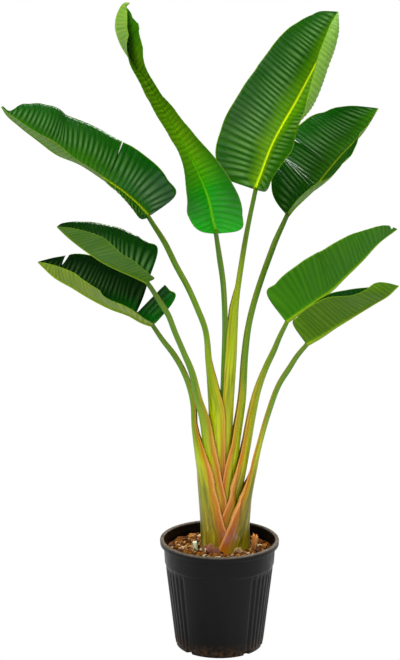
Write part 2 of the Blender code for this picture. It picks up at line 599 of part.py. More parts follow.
def blade_half(half, sign, rib, tangent, up, share):
    """One half of a blade, row by row from its midrib to its margin.

    A row leaves the midrib at its fold angle and bends on as an arc.  Rows
    slant forwards, as the veins do, and those by the stalk sweep back in a lobe.
    """
    breadth = np.maximum(along_table(share, half["breadth"]), BLADE_END_BREADTH)[:, None]
    fold = np.radians(along_table(share, half["fold"]))[:, None]
    bend = np.radians(along_table(share, half["curl"]))[:, None]
    bend = np.where(np.abs(bend) < STRAIGHT, STRAIGHT, bend)
    across = np.linspace(0, 1, BLADE_COLUMNS + 1)[None, :]
    sideways = (np.sin(fold + bend * across) - np.sin(fold)) / bend
    upwards = (np.cos(fold) - np.cos(fold + bend * across)) / bend
    swept = np.exp(-((share[:, None] / LOBE_LENGTH) ** 2)) * across ** 1.5
    forwards = (BLADE_SLANT * across - half.get("lobe", BLADE_LOBE) * swept) * breadth
    return (
        rib[:, None, :]
        + (sign * breadth * sideways)[..., None] * np.cross(tangent, up)[:, None, :]
        + (breadth * upwards)[..., None] * up[:, None, :]
        + forwards[..., None] * tangent[:, None, :]
    )


def blade_surface(blade):
    """The blade's upper face as rows from base to tip, margin to margin."""
    share = np.linspace(0, 1, BLADE_ROWS) ** BLADE_CROWDING
    rib = smooth_path(blade["rib"], BLADE_FINE)
    fine = np.linspace(0, 1, BLADE_FINE)
    rib = np.stack([np.interp(share, fine, rib[:, axis]) for axis in range(3)], 1)
    tangent = unit(np.gradient(rib, axis=0))
    rib[0] += BLADE_CLEARANCE * tangent[0]
    facing = [[(u[0], u[1 + axis]) for u in blade["up"]] for axis in range(3)]
    up = np.stack([along_table(share, pairs) for pairs in facing], 1)
    up = unit(up - (up * tangent).sum(1, keepdims=True) * tangent)
    left = blade_half(blade["left"], -1, rib, tangent, up, share)
    right = blade_half(blade["right"], 1, rib, tangent, up, share)
    return np.concatenate([left[:, :0:-1], right], axis=1)


def add_blade(blade, group):
    """One leaf blade: an open folded surface thickened, most of all at its midrib."""
    surface = blade_surface(blade)
    rows, count, _ = surface.shape
    faces = []
    for row in range(rows - 1):
        for column in range(count - 1):
            corner = row * count + column
            faces.append((corner, corner + 1, corner + count + 1, corner + count))
    mesh = bpy.data.meshes.new("blade_" + blade["name"])
    mesh.from_pydata([tuple(point) for point in surface.reshape(-1, 3)], [], faces)
    thing = add_object("leaf_blade_" + blade["name"], mesh, "blade", group)
    ribs = thing.vertex_groups.new(name="midrib")
    middle = count // 2
    for row in range(rows):
        taper = 1 - (1 - BLADE_TIP_SHARE) * row / (rows - 1)
        for column in range(count):
            weight = taper if column == middle else BLADE_EDGE_SHARE
            ribs.add([row * count + column], weight, "REPLACE")
    solid = thing.modifiers.new("thickness", "SOLIDIFY")
    solid.thickness = BLADE_THICKNESS
    solid.offset = 0.0
    solid.vertex_group = "midrib"
    return thing


def add_pot(group, cutters):
    """The nursery pot: rim, plain collar, tapering wall, rounded foot, drain slots."""
    rim_low = POT_HEIGHT - RIM_DEPTH
    collar_low = POT_HEIGHT - COLLAR_DEPTH
    rim_in = RIM_RADIUS - RIM_WIDTH
    bend = [math.radians(a) for a in (0, 30, 60, 90)]
    profile = [(rim_in, rim_low - 0.002), (rim_in, POT_HEIGHT - 0.001)]
    profile += [(rim_in + 0.001, POT_HEIGHT), (RIM_RADIUS - 0.002, POT_HEIGHT)]
    profile += [(RIM_RADIUS, POT_HEIGHT - 0.002), (RIM_RADIUS, rim_low)]
    profile += [(COLLAR_RADIUS + 0.001, rim_low - 0.001), (COLLAR_RADIUS, collar_low + 0.001)]
    profile += [(SHOULDER_RADIUS, collar_low)]
    profile += [
        (
            FOOT_RADIUS - FOOT_ROUNDING * (1 - math.cos(a)),
            FOOT_ROUNDING * (1 - math.sin(a)),
        )
        for a in bend
    ]
    profile += [(0.0, 0.0), (0.0, FLOOR_THICKNESS)]
    profile += [(FOOT_RADIUS - FOOT_ROUNDING - WALL, FLOOR_THICKNESS)]
    profile += [(FOOT_RADIUS - WALL, FOOT_ROUNDING + FLOOR_THICKNESS)]
    profile += [(SHOULDER_RADIUS - WALL, collar_low - 0.002)]
    profile += [(rim_in, rim_low - 0.002)]
    pot = turned("pot", profile[:-1] + [profile[0]], "pot", group)
    slots = [
        math.radians(PANEL_FRONT + 360 * panel / PANELS + aside)
        for panel in range(PANELS)
        for aside in DRAIN_ANGLES
    ]
    for index, angle in enumerate(slots):
        bpy.ops.mesh.primitive_cube_add(size=1.0)
        box = bpy.context.object
        box.name = "drain_cutter_" + str(index + 1)
        box.dimensions = DRAIN_SIZE
        box.location = (FOOT_RADIUS * math.cos(angle), FOOT_RADIUS * math.sin(angle), 0.0)
        box.rotation_euler = (0.0, 0.0, angle)
        for owner in list(box.users_collection):
            owner.objects.unlink(box)
        cutters.objects.link(box)
        cut(pot, box)
    return pot


def add_mix(group, cutters):
    """The potting mix, filling the pot to below its rim, with the crown's pocket."""
    collar_low = POT_HEIGHT - COLLAR_DEPTH
    reach = SHOULDER_RADIUS - WALL - GAP
    top_reach = reach + (MIX_TOP - collar_low) * COLLAR_FLARE
    profile = [
        (0.0, MIX_TOP),
        (MIX_FLAT_RADIUS, MIX_TOP),
        (top_reach, MIX_TOP - MIX_EDGE_DROP),
        (reach, collar_low - MIX_EDGE_DROP),
        (FOOT_RADIUS - WALL - GAP, FOOT_ROUNDING + FLOOR_THICKNESS + 0.001),
        (FOOT_RADIUS - FOOT_ROUNDING - WALL - GAP - 0.001, FLOOR_THICKNESS + GAP),
        (0.0, FLOOR_THICKNESS + GAP),
    ]
    mix = turned("potting_mix", profile, "mix", group)
    turn = np.radians(np.arange(0, 360, 10.0))
    radius = 0.0
    for height in (MIX_TOP - CLUMP_DEPTH, MIX_TOP):
        clump = Clump(height)
        for stalk in STALKS[1:]:
            clump.lay(stalk)
        radius = np.maximum(radius, clump.outline(turn) + POCKET_GAP)
    low = MIX_TOP - CLUMP_DEPTH - GAP
    loops = [
        np.stack([clump.centre + radius * np.cos(turn), radius * np.sin(turn), 0 * turn + level], 1)
        for level in (low, MIX_TOP + 0.01)
    ]
    pocket = loft("crown_pocket_cutter", np.array(loops), "mix", cutters)
    cut(mix, pocket)
    return mix


def add_stubs(group):
    """The cut ends of old stalks: short thick tubes standing on the mix."""
    for stub in STUBS:
        line = bpy.data.curves.new(stub["name"], "CURVE")
        line.dimensions = "3D"
        line.bevel_depth = stub["radius"]
        line.bevel_resolution = 3
        line.use_fill_caps = True
        spline = line.splines.new("POLY")
        spline.points.add(len(stub["path"]) - 1)
        for point, (x, y, rise) in zip(spline.points, stub["path"]):
            point.co = (x, y, MIX_TOP + STUB_CLEARANCE + rise, 1.0)
        line.materials.append(make_material(stub["name"] + "_surface", stub["kind"]))
        group.objects.link(bpy.data.objects.new(stub["name"], line))


def add_torn_sheaths(group):
    """Torn sheaths that stand against the clump: bent strips, narrower upwards."""
    for piece in TORN_SHEATHS:
        first, last = np.radians(piece["turns"])
        low, high = piece["heights"]
        loops = []
        for rise in np.linspace(low, high, TORN_ROWS):
            height = MIX_TOP + GAP + rise
            clump = Clump(height)
            for stalk in STALKS[1:]:
                clump.lay(stalk)
            share = rise / high
            middle = 0.5 * (first + last)
            half = 0.5 * (last - first) * (1 - TORN_TAPER * share)
            turn = np.linspace(middle - half, middle + half, TORN_POINTS)
            inner = clump.outline(turn) + TORN_CLEARANCE + piece["lean"] * share
            turns = np.concatenate([turn, turn[::-1]])
            radius = np.concatenate([inner + TORN_THICKNESS, inner[::-1]])
            level = np.full(turns.shape, height)
            across = clump.centre + radius * np.cos(turns)
            loops.append(np.stack([across, radius * np.sin(turns), level], 1))
        loft(piece["name"], np.array(loops), "dry", group)


def add_chips(group):
    """Loose pieces of bark lying on the mix."""
    for index, (centre, size, turn) in enumerate(CHIPS):
        bpy.ops.mesh.primitive_cube_add(size=1.0)
        chip = bpy.context.object
        chip.name = "bark_chip_" + str(index + 1)
        chip.data.transform(Matrix.Diagonal((size[0], size[1], size[2], 1.0)))
        chip.location = (centre[0], centre[1], MIX_TOP + GAP + size[2] / 2)
        chip.rotation_euler = (0.0, 0.0, math.radians(turn))
        for owner in list(chip.users_collection):
            owner.objects.unlink(chip)
        group.objects.link(chip)
        chip.data.materials.append(make_material(chip.name + "_surface", "bark"))
        bevel = chip.modifiers.new("worn_edges", "BEVEL")
        bevel.width = CHIP_WEAR
        bevel.segments = 1


def main():
    """Build the whole plant."""
    clear_scene()
    plant = make_collection("potted_bird_of_paradise")
    cutters = make_collection("cutters")
    add_pot(plant, cutters)
    add_mix(plant, cutters)
    for stalk in STALKS:
        loops = stalk_loops(stalk, STALK_SECTIONS, ARC_POINTS)
        loft("leaf_stalk_" + stalk["name"], loops, "stalk", plant)
    for blade in BLADES:
        add_blade(blade, plant)
    add_stubs(plant)
    add_torn_sheaths(plant)
    add_chips(plant)


main()
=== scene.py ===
"""Looks for a potted bird of paradise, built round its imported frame.

Everything is in metres with +Z up.  Leaf blades, stalks, pot and potting mix
are surfaces of two parameters, worked out as whole numpy arrays.
"""
import math

import bpy
import numpy as np
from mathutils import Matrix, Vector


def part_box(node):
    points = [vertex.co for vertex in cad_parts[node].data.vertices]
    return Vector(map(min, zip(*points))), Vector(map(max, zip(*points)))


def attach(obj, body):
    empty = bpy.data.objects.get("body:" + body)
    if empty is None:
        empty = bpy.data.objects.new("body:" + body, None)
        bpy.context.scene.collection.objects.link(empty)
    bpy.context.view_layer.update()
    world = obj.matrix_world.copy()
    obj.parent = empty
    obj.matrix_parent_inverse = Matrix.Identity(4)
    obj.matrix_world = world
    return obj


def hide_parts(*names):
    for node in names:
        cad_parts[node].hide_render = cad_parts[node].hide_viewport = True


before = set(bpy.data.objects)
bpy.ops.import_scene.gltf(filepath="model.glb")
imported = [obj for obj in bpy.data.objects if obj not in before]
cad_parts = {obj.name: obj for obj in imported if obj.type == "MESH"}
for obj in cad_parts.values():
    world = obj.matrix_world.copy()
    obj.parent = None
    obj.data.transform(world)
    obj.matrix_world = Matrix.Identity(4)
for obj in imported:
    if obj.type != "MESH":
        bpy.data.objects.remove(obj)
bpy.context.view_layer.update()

# ------------------------------------------------------------------ the leaves
# Each leaf blade: its midrib from stalk to tip, the way its upper face looks at
# shares of its length, and for each half (left and right of the midrib, seen
# from above and looking to the tip) its breadth, how far it is folded up and
# how it curls on towards its margin, in degrees, all at shares of the length.
# A lobe is how far the half sweeps back at the stalk.  A tear is where it
# starts, how deep it runs, how wide it gapes and how far the part beyond it is
# lifted.
LEAVES = {
    "1": dict(
        rib=[(-0.143, 0.030, 0.712), (-0.164, 0.033, 0.718), (-0.193, 0.040, 0.732),
             (-0.235, 0.055, 0.744), (-0.280, 0.070, 0.763), (-0.319, 0.085, 0.783),
             (-0.358, 0.100, 0.802), (-0.395, 0.110, 0.834)],
        up=[(0, 0.25, -0.15, 1), (1, 0.30, -0.20, 1)],
        left=dict(breadth=[(0, 0.006), (0.03, 0.040), (0.10, 0.069), (0.25, 0.084), (0.45, 0.084),
                           (0.65, 0.071), (0.80, 0.050), (0.92, 0.026), (1, 0.002)],
                  fold=[(0, 20), (0.10, 25), (0.25, 27), (0.40, 37), (0.65, 43), (0.80, 51), (1, 55)],
                  curl=[(0, 8), (1, 8)]),
        right=dict(breadth=[(0, 0.006), (0.03, 0.058), (0.10, 0.088), (0.25, 0.097), (0.45, 0.096),
                            (0.65, 0.082), (0.80, 0.062), (0.92, 0.034), (1, 0.002)],
                   fold=[(0, 66), (0.25, 65), (0.45, 60), (0.65, 53), (0.80, 55), (1, 56)],
                   curl=[(0, 8), (1, 8)], lobe=0.80,
                   tears=[(0.150, 0.88, 0.026, -6), (0.83, 0.45, 0.016, 6)]),
        look="aged",
    ),
    "2": dict(
        rib=[(-0.152, -0.060, 0.824), (-0.180, -0.070, 0.839), (-0.208, -0.085, 0.854),
             (-0.240, -0.105, 0.874), (-0.267, -0.130, 0.897), (-0.290, -0.150, 0.918),
             (-0.308, -0.170, 0.937), (-0.327, -0.200, 0.962)],
        up=[(0, 0.30, 0.10, 1), (1, 0.40, 0.10, 1)],
        left=dict(breadth=[(0, 0.006), (0.03, 0.034), (0.10, 0.055), (0.20, 0.068), (0.35, 0.075),
                           (0.60, 0.075), (0.78, 0.068), (0.90, 0.046), (0.96, 0.026), (1, 0.002)],
                  fold=[(0, 18), (0.30, 20), (0.50, 20), (0.65, 26), (0.80, 24), (1, 22)],
                  curl=[(0, 8), (1, 8)]),
        right=dict(breadth=[(0, 0.006), (0.03, 0.064), (0.10, 0.086), (0.20, 0.095), (0.35, 0.091),
                            (0.50, 0.082), (0.70, 0.058), (0.85, 0.032), (0.95, 0.013), (1, 0.002)],
                   fold=[(0, 64), (0.10, 58), (0.30, 51), (0.50, 48), (0.70, 43), (1, 44)],
                   curl=[(0, 8), (1, 8)], lobe=0.32),
        look="shaded",
    ),
    "3": dict(
        rib=[(-0.150, 0.000, 0.953), (-0.171, -0.010, 0.978), (-0.195, -0.020, 1.001),
             (-0.242, -0.035, 1.037), (-0.290, -0.055, 1.071), (-0.337, -0.075, 1.094),
             (-0.371, -0.090, 1.122), (-0.411, -0.100, 1.155), (-0.434, -0.105, 1.177),
             (-0.443, -0.105, 1.192)],
        up=[(0, 0.5, -0.45, 0.7), (0.3, 0.5, -0.30, 0.8), (1, 0.4, -0.2, 0.85)],
        left=dict(breadth=[(0, 0.006), (0.03, 0.030), (0.10, 0.058), (0.20, 0.076), (0.40, 0.085),
                           (0.60, 0.076), (0.80, 0.052), (0.92, 0.028), (1, 0.002)],
                  fold=[(0, 0), (0.10, 4), (0.20, 12), (0.35, 18), (0.50, 19), (0.65, 26),
                        (0.90, 31), (1, 34)],
                  curl=[(0, 8), (1, 8)], lobe=0.05),
        right=dict(breadth=[(0, 0.006), (0.03, 0.061), (0.10, 0.083), (0.20, 0.088), (0.35, 0.092),
                            (0.60, 0.094), (0.75, 0.085), (0.86, 0.062), (0.92, 0.036), (0.95, 0.014),
                            (1, 0.003)],
                   fold=[(0, 82), (0.10, 82), (0.25, 67), (0.50, 55), (0.70, 60), (1, 60)],
                   curl=[(0, -10), (0.3, -30), (1, -40)],
                   tears=[(0.305, 0.34, 0.003, 2)]),
        look="glossy",
    ),
    "4": dict(
        rib=[(-0.009, -0.030, 0.922), (-0.015, -0.037, 0.946), (-0.026, -0.050, 0.998),
             (-0.045, -0.055, 1.047), (-0.067, -0.055, 1.092), (-0.092, -0.050, 1.136),
             (-0.118, -0.045, 1.180), (-0.148, -0.040, 1.232), (-0.182, -0.035, 1.278),
             (-0.206, -0.030, 1.316), (-0.215, -0.030, 1.349), (-0.209, -0.030, 1.377),
             (-0.195, -0.030, 1.395), (-0.186, -0.030, 1.395)],
        up=[(0, 0.10, -1, 0.1), (0.5, 0.15, -1, 0.2), (0.75, 0.30, -0.95, 0.2), (1, 0.5, -0.85, 0)],
        left=dict(breadth=[(0, 0.006), (0.03, 0.036), (0.10, 0.057), (0.20, 0.060), (0.35, 0.056),
                           (0.60, 0.052), (0.75, 0.056), (0.85, 0.050), (0.93, 0.032), (1, 0.002)],
                  fold=[(0, 40), (0.10, 26), (0.20, 43), (0.30, 60), (0.50, 62), (0.60, 58),
                        (0.70, 64), (0.80, 85), (0.90, 100), (1, 118)],
                  curl=[(0, 5), (1, 5)], lobe=0.0),
        right=dict(breadth=[(0, 0.006), (0.03, 0.048), (0.10, 0.070), (0.20, 0.076), (0.35, 0.066),
                            (0.60, 0.054), (0.75, 0.062), (0.85, 0.056), (0.93, 0.036), (1, 0.002)],
                   fold=[(0, 16), (0.10, 22), (0.20, 40), (0.30, 51), (0.40, 65), (0.50, 74),
                         (0.60, 85), (0.70, 80), (0.80, 55), (0.90, 38), (1, 38)],
                   curl=[(0, 25), (1, 5)], lobe=0.48),
        look="young",
    ),
    "5": dict(
        rib=[(0.074, 0.020, 1.007), (0.086, 0.020, 1.039), (0.108, 0.025, 1.097),
             (0.133, 0.030, 1.146), (0.154, 0.040, 1.182), (0.180, 0.050, 1.229),
             (0.201, 0.060, 1.268), (0.222, 0.070, 1.308), (0.235, 0.080, 1.339), (0.247, 0.085, 1.372)],
        up=[(0, -0.10, -1, 0.15), (0.5, -0.12, -1, 0.22), (1, -0.15, -1, 0.30)],
        left=dict(breadth=[(0, 0.006), (0.03, 0.070), (0.10, 0.104), (0.20, 0.114), (0.35, 0.119),
                           (0.55, 0.114), (0.70, 0.101), (0.82, 0.079), (0.92, 0.052), (0.97, 0.031),
                           (1, 0.002)],
                  fold=[(0, -8), (0.20, -5), (0.30, 3), (0.50, 14), (0.65, 17), (0.80, 11), (0.92, 2),
                        (1, 3)],
                  curl=[(0, 30), (0.50, 34), (0.92, 20), (1, 8)]),
        right=dict(breadth=[(0, 0.006), (0.03, 0.056), (0.10, 0.081), (0.20, 0.096), (0.30, 0.100),
                            (0.60, 0.096), (0.70, 0.090), (0.80, 0.079), (0.92, 0.048), (1, 0.002)],
                   fold=[(0, 60), (0.10, 68), (0.20, 66), (0.30, 57), (0.37, 42), (0.44, 14),
                         (0.52, -5), (0.70, 0), (1, 5)],
                   curl=[(0, 5), (0.30, 12), (0.37, 50), (0.44, 110), (0.52, 155), (0.70, 172),
                         (1, 180)], lobe=0.20),
        look="rolled",
    ),
    "6": dict(
        rib=[(0.144, 0.060, 0.946), (0.158, 0.070, 0.961), (0.181, 0.085, 0.980),
             (0.207, 0.100, 1.002), (0.229, 0.120, 1.026), (0.262, 0.145, 1.061),
             (0.291, 0.165, 1.088), (0.312, 0.180, 1.109), (0.331, 0.195, 1.134), (0.347, 0.210, 1.158)],
        up=[(0, -0.45, -0.6, 0.6), (0.5, -0.45, -0.6, 0.6), (1, -0.5, -0.6, 0.7)],
        left=dict(breadth=[(0, 0.006), (0.03, 0.036), (0.10, 0.080), (0.20, 0.106), (0.35, 0.121),
                           (0.60, 0.136), (0.80, 0.124), (0.90, 0.096), (0.96, 0.057), (1, 0.002)],
                  fold=[(0, 10), (0.10, 30), (0.20, 27), (0.40, 18), (0.60, 7), (0.80, 2), (1, 4)],
                  curl=[(0, 5), (1, 5)], lobe=0.10, tears=[(0.47, 0.42, 0.008, 3)]),
        right=dict(breadth=[(0, 0.006), (0.03, 0.050), (0.10, 0.083), (0.20, 0.105), (0.45, 0.100),
                            (0.60, 0.072), (0.80, 0.028), (0.92, 0.012), (1, 0.002)],
                   fold=[(0, 45), (0.15, 40), (0.30, 34), (0.45, 33), (0.60, 37), (0.80, 42), (1, 40)],
                   curl=[(0, 15), (1, 15)]),
        look="glossy",
    ),
    "7": dict(
        rib=[(0.143, 0.030, 0.719), (0.172, 0.035, 0.739), (0.209, 0.050, 0.763),
             (0.240, 0.065, 0.781), (0.269, 0.080, 0.806), (0.311, 0.105, 0.841),
             (0.346, 0.125, 0.874), (0.388, 0.150, 0.900)],
        up=[(0, -0.3, 0.1, 1), (1, -0.35, 0.15, 1)],
        left=dict(breadth=[(0, 0.006), (0.03, 0.046), (0.10, 0.066), (0.30, 0.080), (0.50, 0.070),
                           (0.70, 0.048), (0.85, 0.027), (0.95, 0.012), (1, 0.002)],
                  fold=[(0, 60), (0.30, 58), (0.60, 50), (1, 44)],
                  curl=[(0, 8), (1, 8)]),
        right=dict(breadth=[(0, 0.006), (0.03, 0.062), (0.10, 0.084), (0.20, 0.097), (0.35, 0.101),
                            (0.50, 0.092), (0.65, 0.077), (0.80, 0.053), (0.92, 0.028), (1, 0.002)],
                   fold=[(0, 84), (0.10, 80), (0.20, 70), (0.35, 64), (0.50, 58), (0.70, 55),
                         (0.90, 47), (1, 50)],
                   curl=[(0, 8), (1, 8)], tears=[(0.955, 0.45, 0.018, 5)]),
        look="matt",
    ),
    "8": dict(
        rib=[(0.182, -0.060, 0.691), (0.209, -0.070, 0.709), (0.238, -0.085, 0.733),
             (0.264, -0.100, 0.753), (0.291, -0.120, 0.775), (0.317, -0.140, 0.796),
             (0.340, -0.160, 0.815), (0.358, -0.180, 0.838)],
        up=[(0, -0.35, -0.1, 1), (1, -0.35, -0.1, 1)],
        left=dict(breadth=[(0, 0.006), (0.03, 0.040), (0.10, 0.056), (0.30, 0.068), (0.50, 0.055),
                           (0.70, 0.037), (0.85, 0.022), (0.95, 0.010), (1, 0.002)],
                  fold=[(0, 62), (0.30, 60), (0.60, 52), (1, 46)],
                  curl=[(0, 8), (1, 8)], tears=[(0.16, 0.25, 0.03, 6)]),
        right=dict(breadth=[(0, 0.006), (0.03, 0.050), (0.10, 0.070), (0.20, 0.081), (0.35, 0.086),
                            (0.50, 0.082), (0.65, 0.071), (0.80, 0.052), (0.92, 0.034), (1, 0.002)],
                   fold=[(0, 70), (0.10, 67), (0.20, 59), (0.40, 53), (0.60, 42), (0.70, 39),
                         (0.80, 43), (0.92, 62), (1, 75)],
                   curl=[(0, 8), (1, 8)], lobe=0.25),
        look="olive",
    ),
}
LEAF_LOBE = 0.35
LOBE_LENGTH = 0.12
LEAF_SLANT = 0.12
LEAST_BREADTH = 0.0015
STRAIGHT = 0.001
TEAR_FADE = 0.12
LEAF_SKIN = 0.0009
PLEAT_PITCH = 0.0105
PLEAT_DEPTH = 0.0011
PLEAT_SHARPNESS = 0.6
RIB_ZONE = 0.12
RUFFLE_HEIGHT, RUFFLE_LENGTH = 0.0035, 0.045
CRINKLE_HEIGHT, CRINKLE_LENGTH = 0.0006, 0.018
ROW_STEP = 0.0017
HALF_COLUMNS = 26
COLUMN_CROWDING = 1.5
KEEL_BREADTH = (0.0050, 0.0012)
KEEL_DEPTH = (0.0050, 0.0008)
GROOVE_DEPTH = 0.0012


def unit(vectors):
    """Vectors scaled to length one."""
    return vectors / np.maximum(np.linalg.norm(vectors, axis=-1, keepdims=True), 1e-12)


def through(places, knots, values):
    """A smooth curve through values at knots, read at places.

    Each span is a cubic whose end slopes are the averages of the straight
    slopes on either side, weighted by the lengths of the spans.
    """
    knots = np.asarray(knots, float)
    values = np.asarray(values, float).reshape(len(knots), -1)
    span = np.diff(knots)[:, None]
    rise = np.diff(values, axis=0) / span
    slope = np.concatenate([rise[:1], rise[-1:]] if len(knots) == 2 else [
        rise[:1], (rise[:-1] * span[1:] + rise[1:] * span[:-1]) / (span[1:] + span[:-1]), rise[-1:]])
    places = np.clip(places, knots[0], knots[-1])
    which = np.clip(np.searchsorted(knots, places, side="right") - 1, 0, len(knots) - 2)
    x = ((places - knots[which]) / (knots[which + 1] - knots[which]))[:, None]
    reach = span[which]
    low, high = values[which], values[which + 1]
    return (
        (2 * x**3 - 3 * x**2 + 1) * low + (x**3 - 2 * x**2 + x) * slope[which] * reach
        + (3 * x**2 - 2 * x**3) * high + (x**3 - x**2) * slope[which + 1] * reach
    )


def table(places, pairs):
    """A smooth curve through (share, amount) pairs, read at places."""
    return through(places, [pair[0] for pair in pairs], [pair[1] for pair in pairs])[:, 0]


def even_path(points, share):
    """Points and directions on a smooth curve, at shares of its length."""
    knots = np.asarray(points, float)
    chords = np.concatenate([[0], np.cumsum(np.linalg.norm(np.diff(knots, axis=0), axis=1))])
    fine = through(np.linspace(0, chords[-1], 900), chords, knots)
    length = np.concatenate([[0], np.cumsum(np.linalg.norm(np.diff(fine, axis=0), axis=1))])

    def read(where):
        where = np.clip(where, 0, 1) * length[-1]
        return np.stack([np.interp(where, length, fine[:, axis]) for axis in range(3)], 1)

    return read(share), unit(read(share + 0.004) - read(share - 0.004)), length[-1]


def grid_normals(points):
    """Unit normals of a grid: the cross of its two directions of growth."""
    return unit(np.cross(np.gradient(points, axis=0), np.gradient(points, axis=1)))


def noise_1d(where, seed):
    """A smooth random wave between -1 and 1: seeded values joined by half cosines."""
    values = np.random.default_rng(seed).uniform(-1, 1, 512)
    low = np.floor(where).astype(int)
    x = where - low
    x = x * x * (3 - 2 * x)
    return values[low % 512] * (1 - x) + values[(low + 1) % 512] * x


def facing_of(leaf, share):
    """Which way a blade's upper face looks, at shares of its length."""
    return through(share, [turn[0] for turn in leaf["up"]], [turn[1:] for turn in leaf["up"]])


def leaf_half(leaf, side, share, across):
    """One half of a blade: each row leaves the midrib at its fold and bends on as an arc.

    The arc's breadth, fold and curl are read along the leaf.  Rows slant
    forwards as the veins do, and the rows by the stalk sweep back in a lobe.
    A tear draws the margin in to a narrow notch and lifts what lies beyond it.
    """
    half = leaf[side]
    rib, along, _ = even_path(leaf["rib"], share)
    facing = facing_of(leaf, share)
    facing = unit(facing - (facing * along).sum(1, keepdims=True) * along)
    sideways = np.cross(along, facing) * (1 if side == "right" else -1)
    breadth = np.maximum(table(share, half["breadth"]), LEAST_BREADTH)
    fold = table(share, half["fold"])
    for place, depth, gape, lift in half.get("tears", ()):
        notch = np.clip(1 - np.abs(share - place) / gape, 0, 1)
        breadth = breadth * (1 - depth * notch ** 0.8)
        fold = fold + lift * 0.5 * (np.tanh((share - place) / (0.25 * gape)) + 1) * np.exp(
            -np.maximum(share - place, 0) / TEAR_FADE)
    fold = np.radians(fold)[:, None]
    bend = np.radians(table(share, half["curl"]))[:, None]
    bend = np.where(np.abs(bend) < STRAIGHT, STRAIGHT, bend)
    breadth = breadth[:, None]
    reach = across[None, :]
    outwards = (np.sin(fold + bend * reach) - np.sin(fold)) / bend
    upwards = (np.cos(fold) - np.cos(fold + bend * reach)) / bend
    near_stalk = np.exp(-((share[:, None] / LOBE_LENGTH) ** 2))
    lobe = half.get("lobe", LEAF_LOBE) * near_stalk * reach ** 1.5
    forwards = (LEAF_SLANT * reach - lobe) * breadth
    points = (
        rib[:, None]
        + (breadth * outwards)[..., None] * sideways[:, None]
        + (breadth * upwards)[..., None] * facing[:, None]
        + forwards[..., None] * along[:, None]
    )
    return points, breadth * reach


def leaf_rows(leaf):
    """Shares of the leaf's length for its rows, closer together at each tear."""
    length = even_path(leaf["rib"], np.array([0.5]))[2]
    rows = [np.linspace(0, 1, int(length / ROW_STEP))]
    for side in ("left", "right"):
        for place, _, gape, _ in leaf[side].get("tears", ()):
            rows.append(place + gape * np.linspace(-1.1, 1.1, 23))
    return np.unique(np.round(np.clip(np.concatenate(rows), 0, 1), 5)), length


def leaf_sheets(name, leaf):
    """Upper and lower face of a blade as grids, with the measures its finish reads.

    The sheet is pleated along its side veins and ruffled at its margins.  Its
    upper face has a groove over the midrib and its lower face a rounded keel.
    """
    share, length = leaf_rows(leaf)
    crowd = np.linspace(0, 1, HALF_COLUMNS + 1) ** COLUMN_CROWDING
    left, far_left = leaf_half(leaf, "left", share, crowd)
    right, far_right = leaf_half(leaf, "right", share, crowd)
    sheet = np.concatenate([left[:, :0:-1], right], axis=1)
    out = np.concatenate([-far_left[:, :0:-1], far_right], axis=1)
    across = np.concatenate([-crowd[:0:-1], crowd])[None, :] + 0 * out
    normal = grid_normals(sheet)
    middle = sheet.shape[1] // 2
    if (normal[:, middle] * facing_of(leaf, share)).sum() < 0:
        normal = -normal
    run = (share * length)[:, None]
    seed = int(name)
    warp = 0.35 * noise_1d(run / 0.03 + 17 * seed, seed) + 0.10 * across ** 2
    pleats = np.cos(2 * np.pi * (run / PLEAT_PITCH + warp))
    pleats = 2 * np.abs(0.5 + 0.5 * pleats) ** PLEAT_SHARPNESS - 1
    uneven = 0.65 + 0.35 * noise_1d(run / 0.012 + 40, seed + 50)
    inner = np.clip(np.abs(across) / RIB_ZONE, 0, 1)
    relief = PLEAT_DEPTH * pleats * uneven * inner * (1 - 0.8 * np.abs(across) ** 3)
    ruffle = RUFFLE_HEIGHT * noise_1d(run / RUFFLE_LENGTH + 3 * seed, seed + 90) * np.abs(across) ** 3
    crinkle = CRINKLE_HEIGHT * noise_1d(run / CRINKLE_LENGTH, seed + 70) * np.abs(across) ** 6
    calm_ends = np.clip(np.sin(np.pi * share) * 3, 0, 1)[:, None]
    sheet = sheet + ((relief + ruffle + crinkle) * calm_ends)[..., None] * normal
    thin = LEAF_SKIN * (1 - 0.6 * np.abs(across) ** 8)
    taper = (1 - share)[:, None]
    keel_breadth = KEEL_BREADTH[1] + (KEEL_BREADTH[0] - KEEL_BREADTH[1]) * taper
    keel_depth = KEEL_DEPTH[1] + (KEEL_DEPTH[0] - KEEL_DEPTH[1]) * taper
    round_keel = np.sqrt(np.clip(1 - (out / keel_breadth) ** 2, 0, 1))
    flare = np.exp(-np.abs(out) / (1.3 * keel_breadth))
    keel = keel_depth * (0.75 * round_keel + 0.25 * flare)
    groove = GROOVE_DEPTH * (0.35 + 0.65 * taper) * np.exp(-((out / (0.55 * keel_breadth)) ** 2))
    upper = sheet + (thin / 2 - groove)[..., None] * normal
    lower = sheet - (thin / 2 + keel)[..., None] * normal
    rib_mask = np.exp(-((out / (0.75 * keel_breadth)) ** 4))
    values = dict(across=across, run=run + 0 * out, rib=rib_mask, share=share[:, None] + 0 * out,
                  pleat=(0.5 + 0.5 * pleats) * inner)
    return upper, lower, values


def new_mesh(name, points, faces):
    """A smooth shaded mesh object at the origin, from points and faces."""
    mesh = bpy.data.meshes.new(name)
    if isinstance(faces, np.ndarray):
        faces = faces.tolist()
    mesh.from_pydata(points.reshape(-1, 3).tolist(), [], faces)
    mesh.shade_smooth()
    thing = bpy.data.objects.new(name, mesh)
    bpy.context.scene.collection.objects.link(thing)
    return thing


def add_values(thing, **values):
    """Store one number a point, under each name."""
    for name, amounts in values.items():
        layer = thing.data.attributes.new(name, "FLOAT", "POINT")
        layer.data.foreach_set("value", np.asarray(amounts, np.float32).ravel())


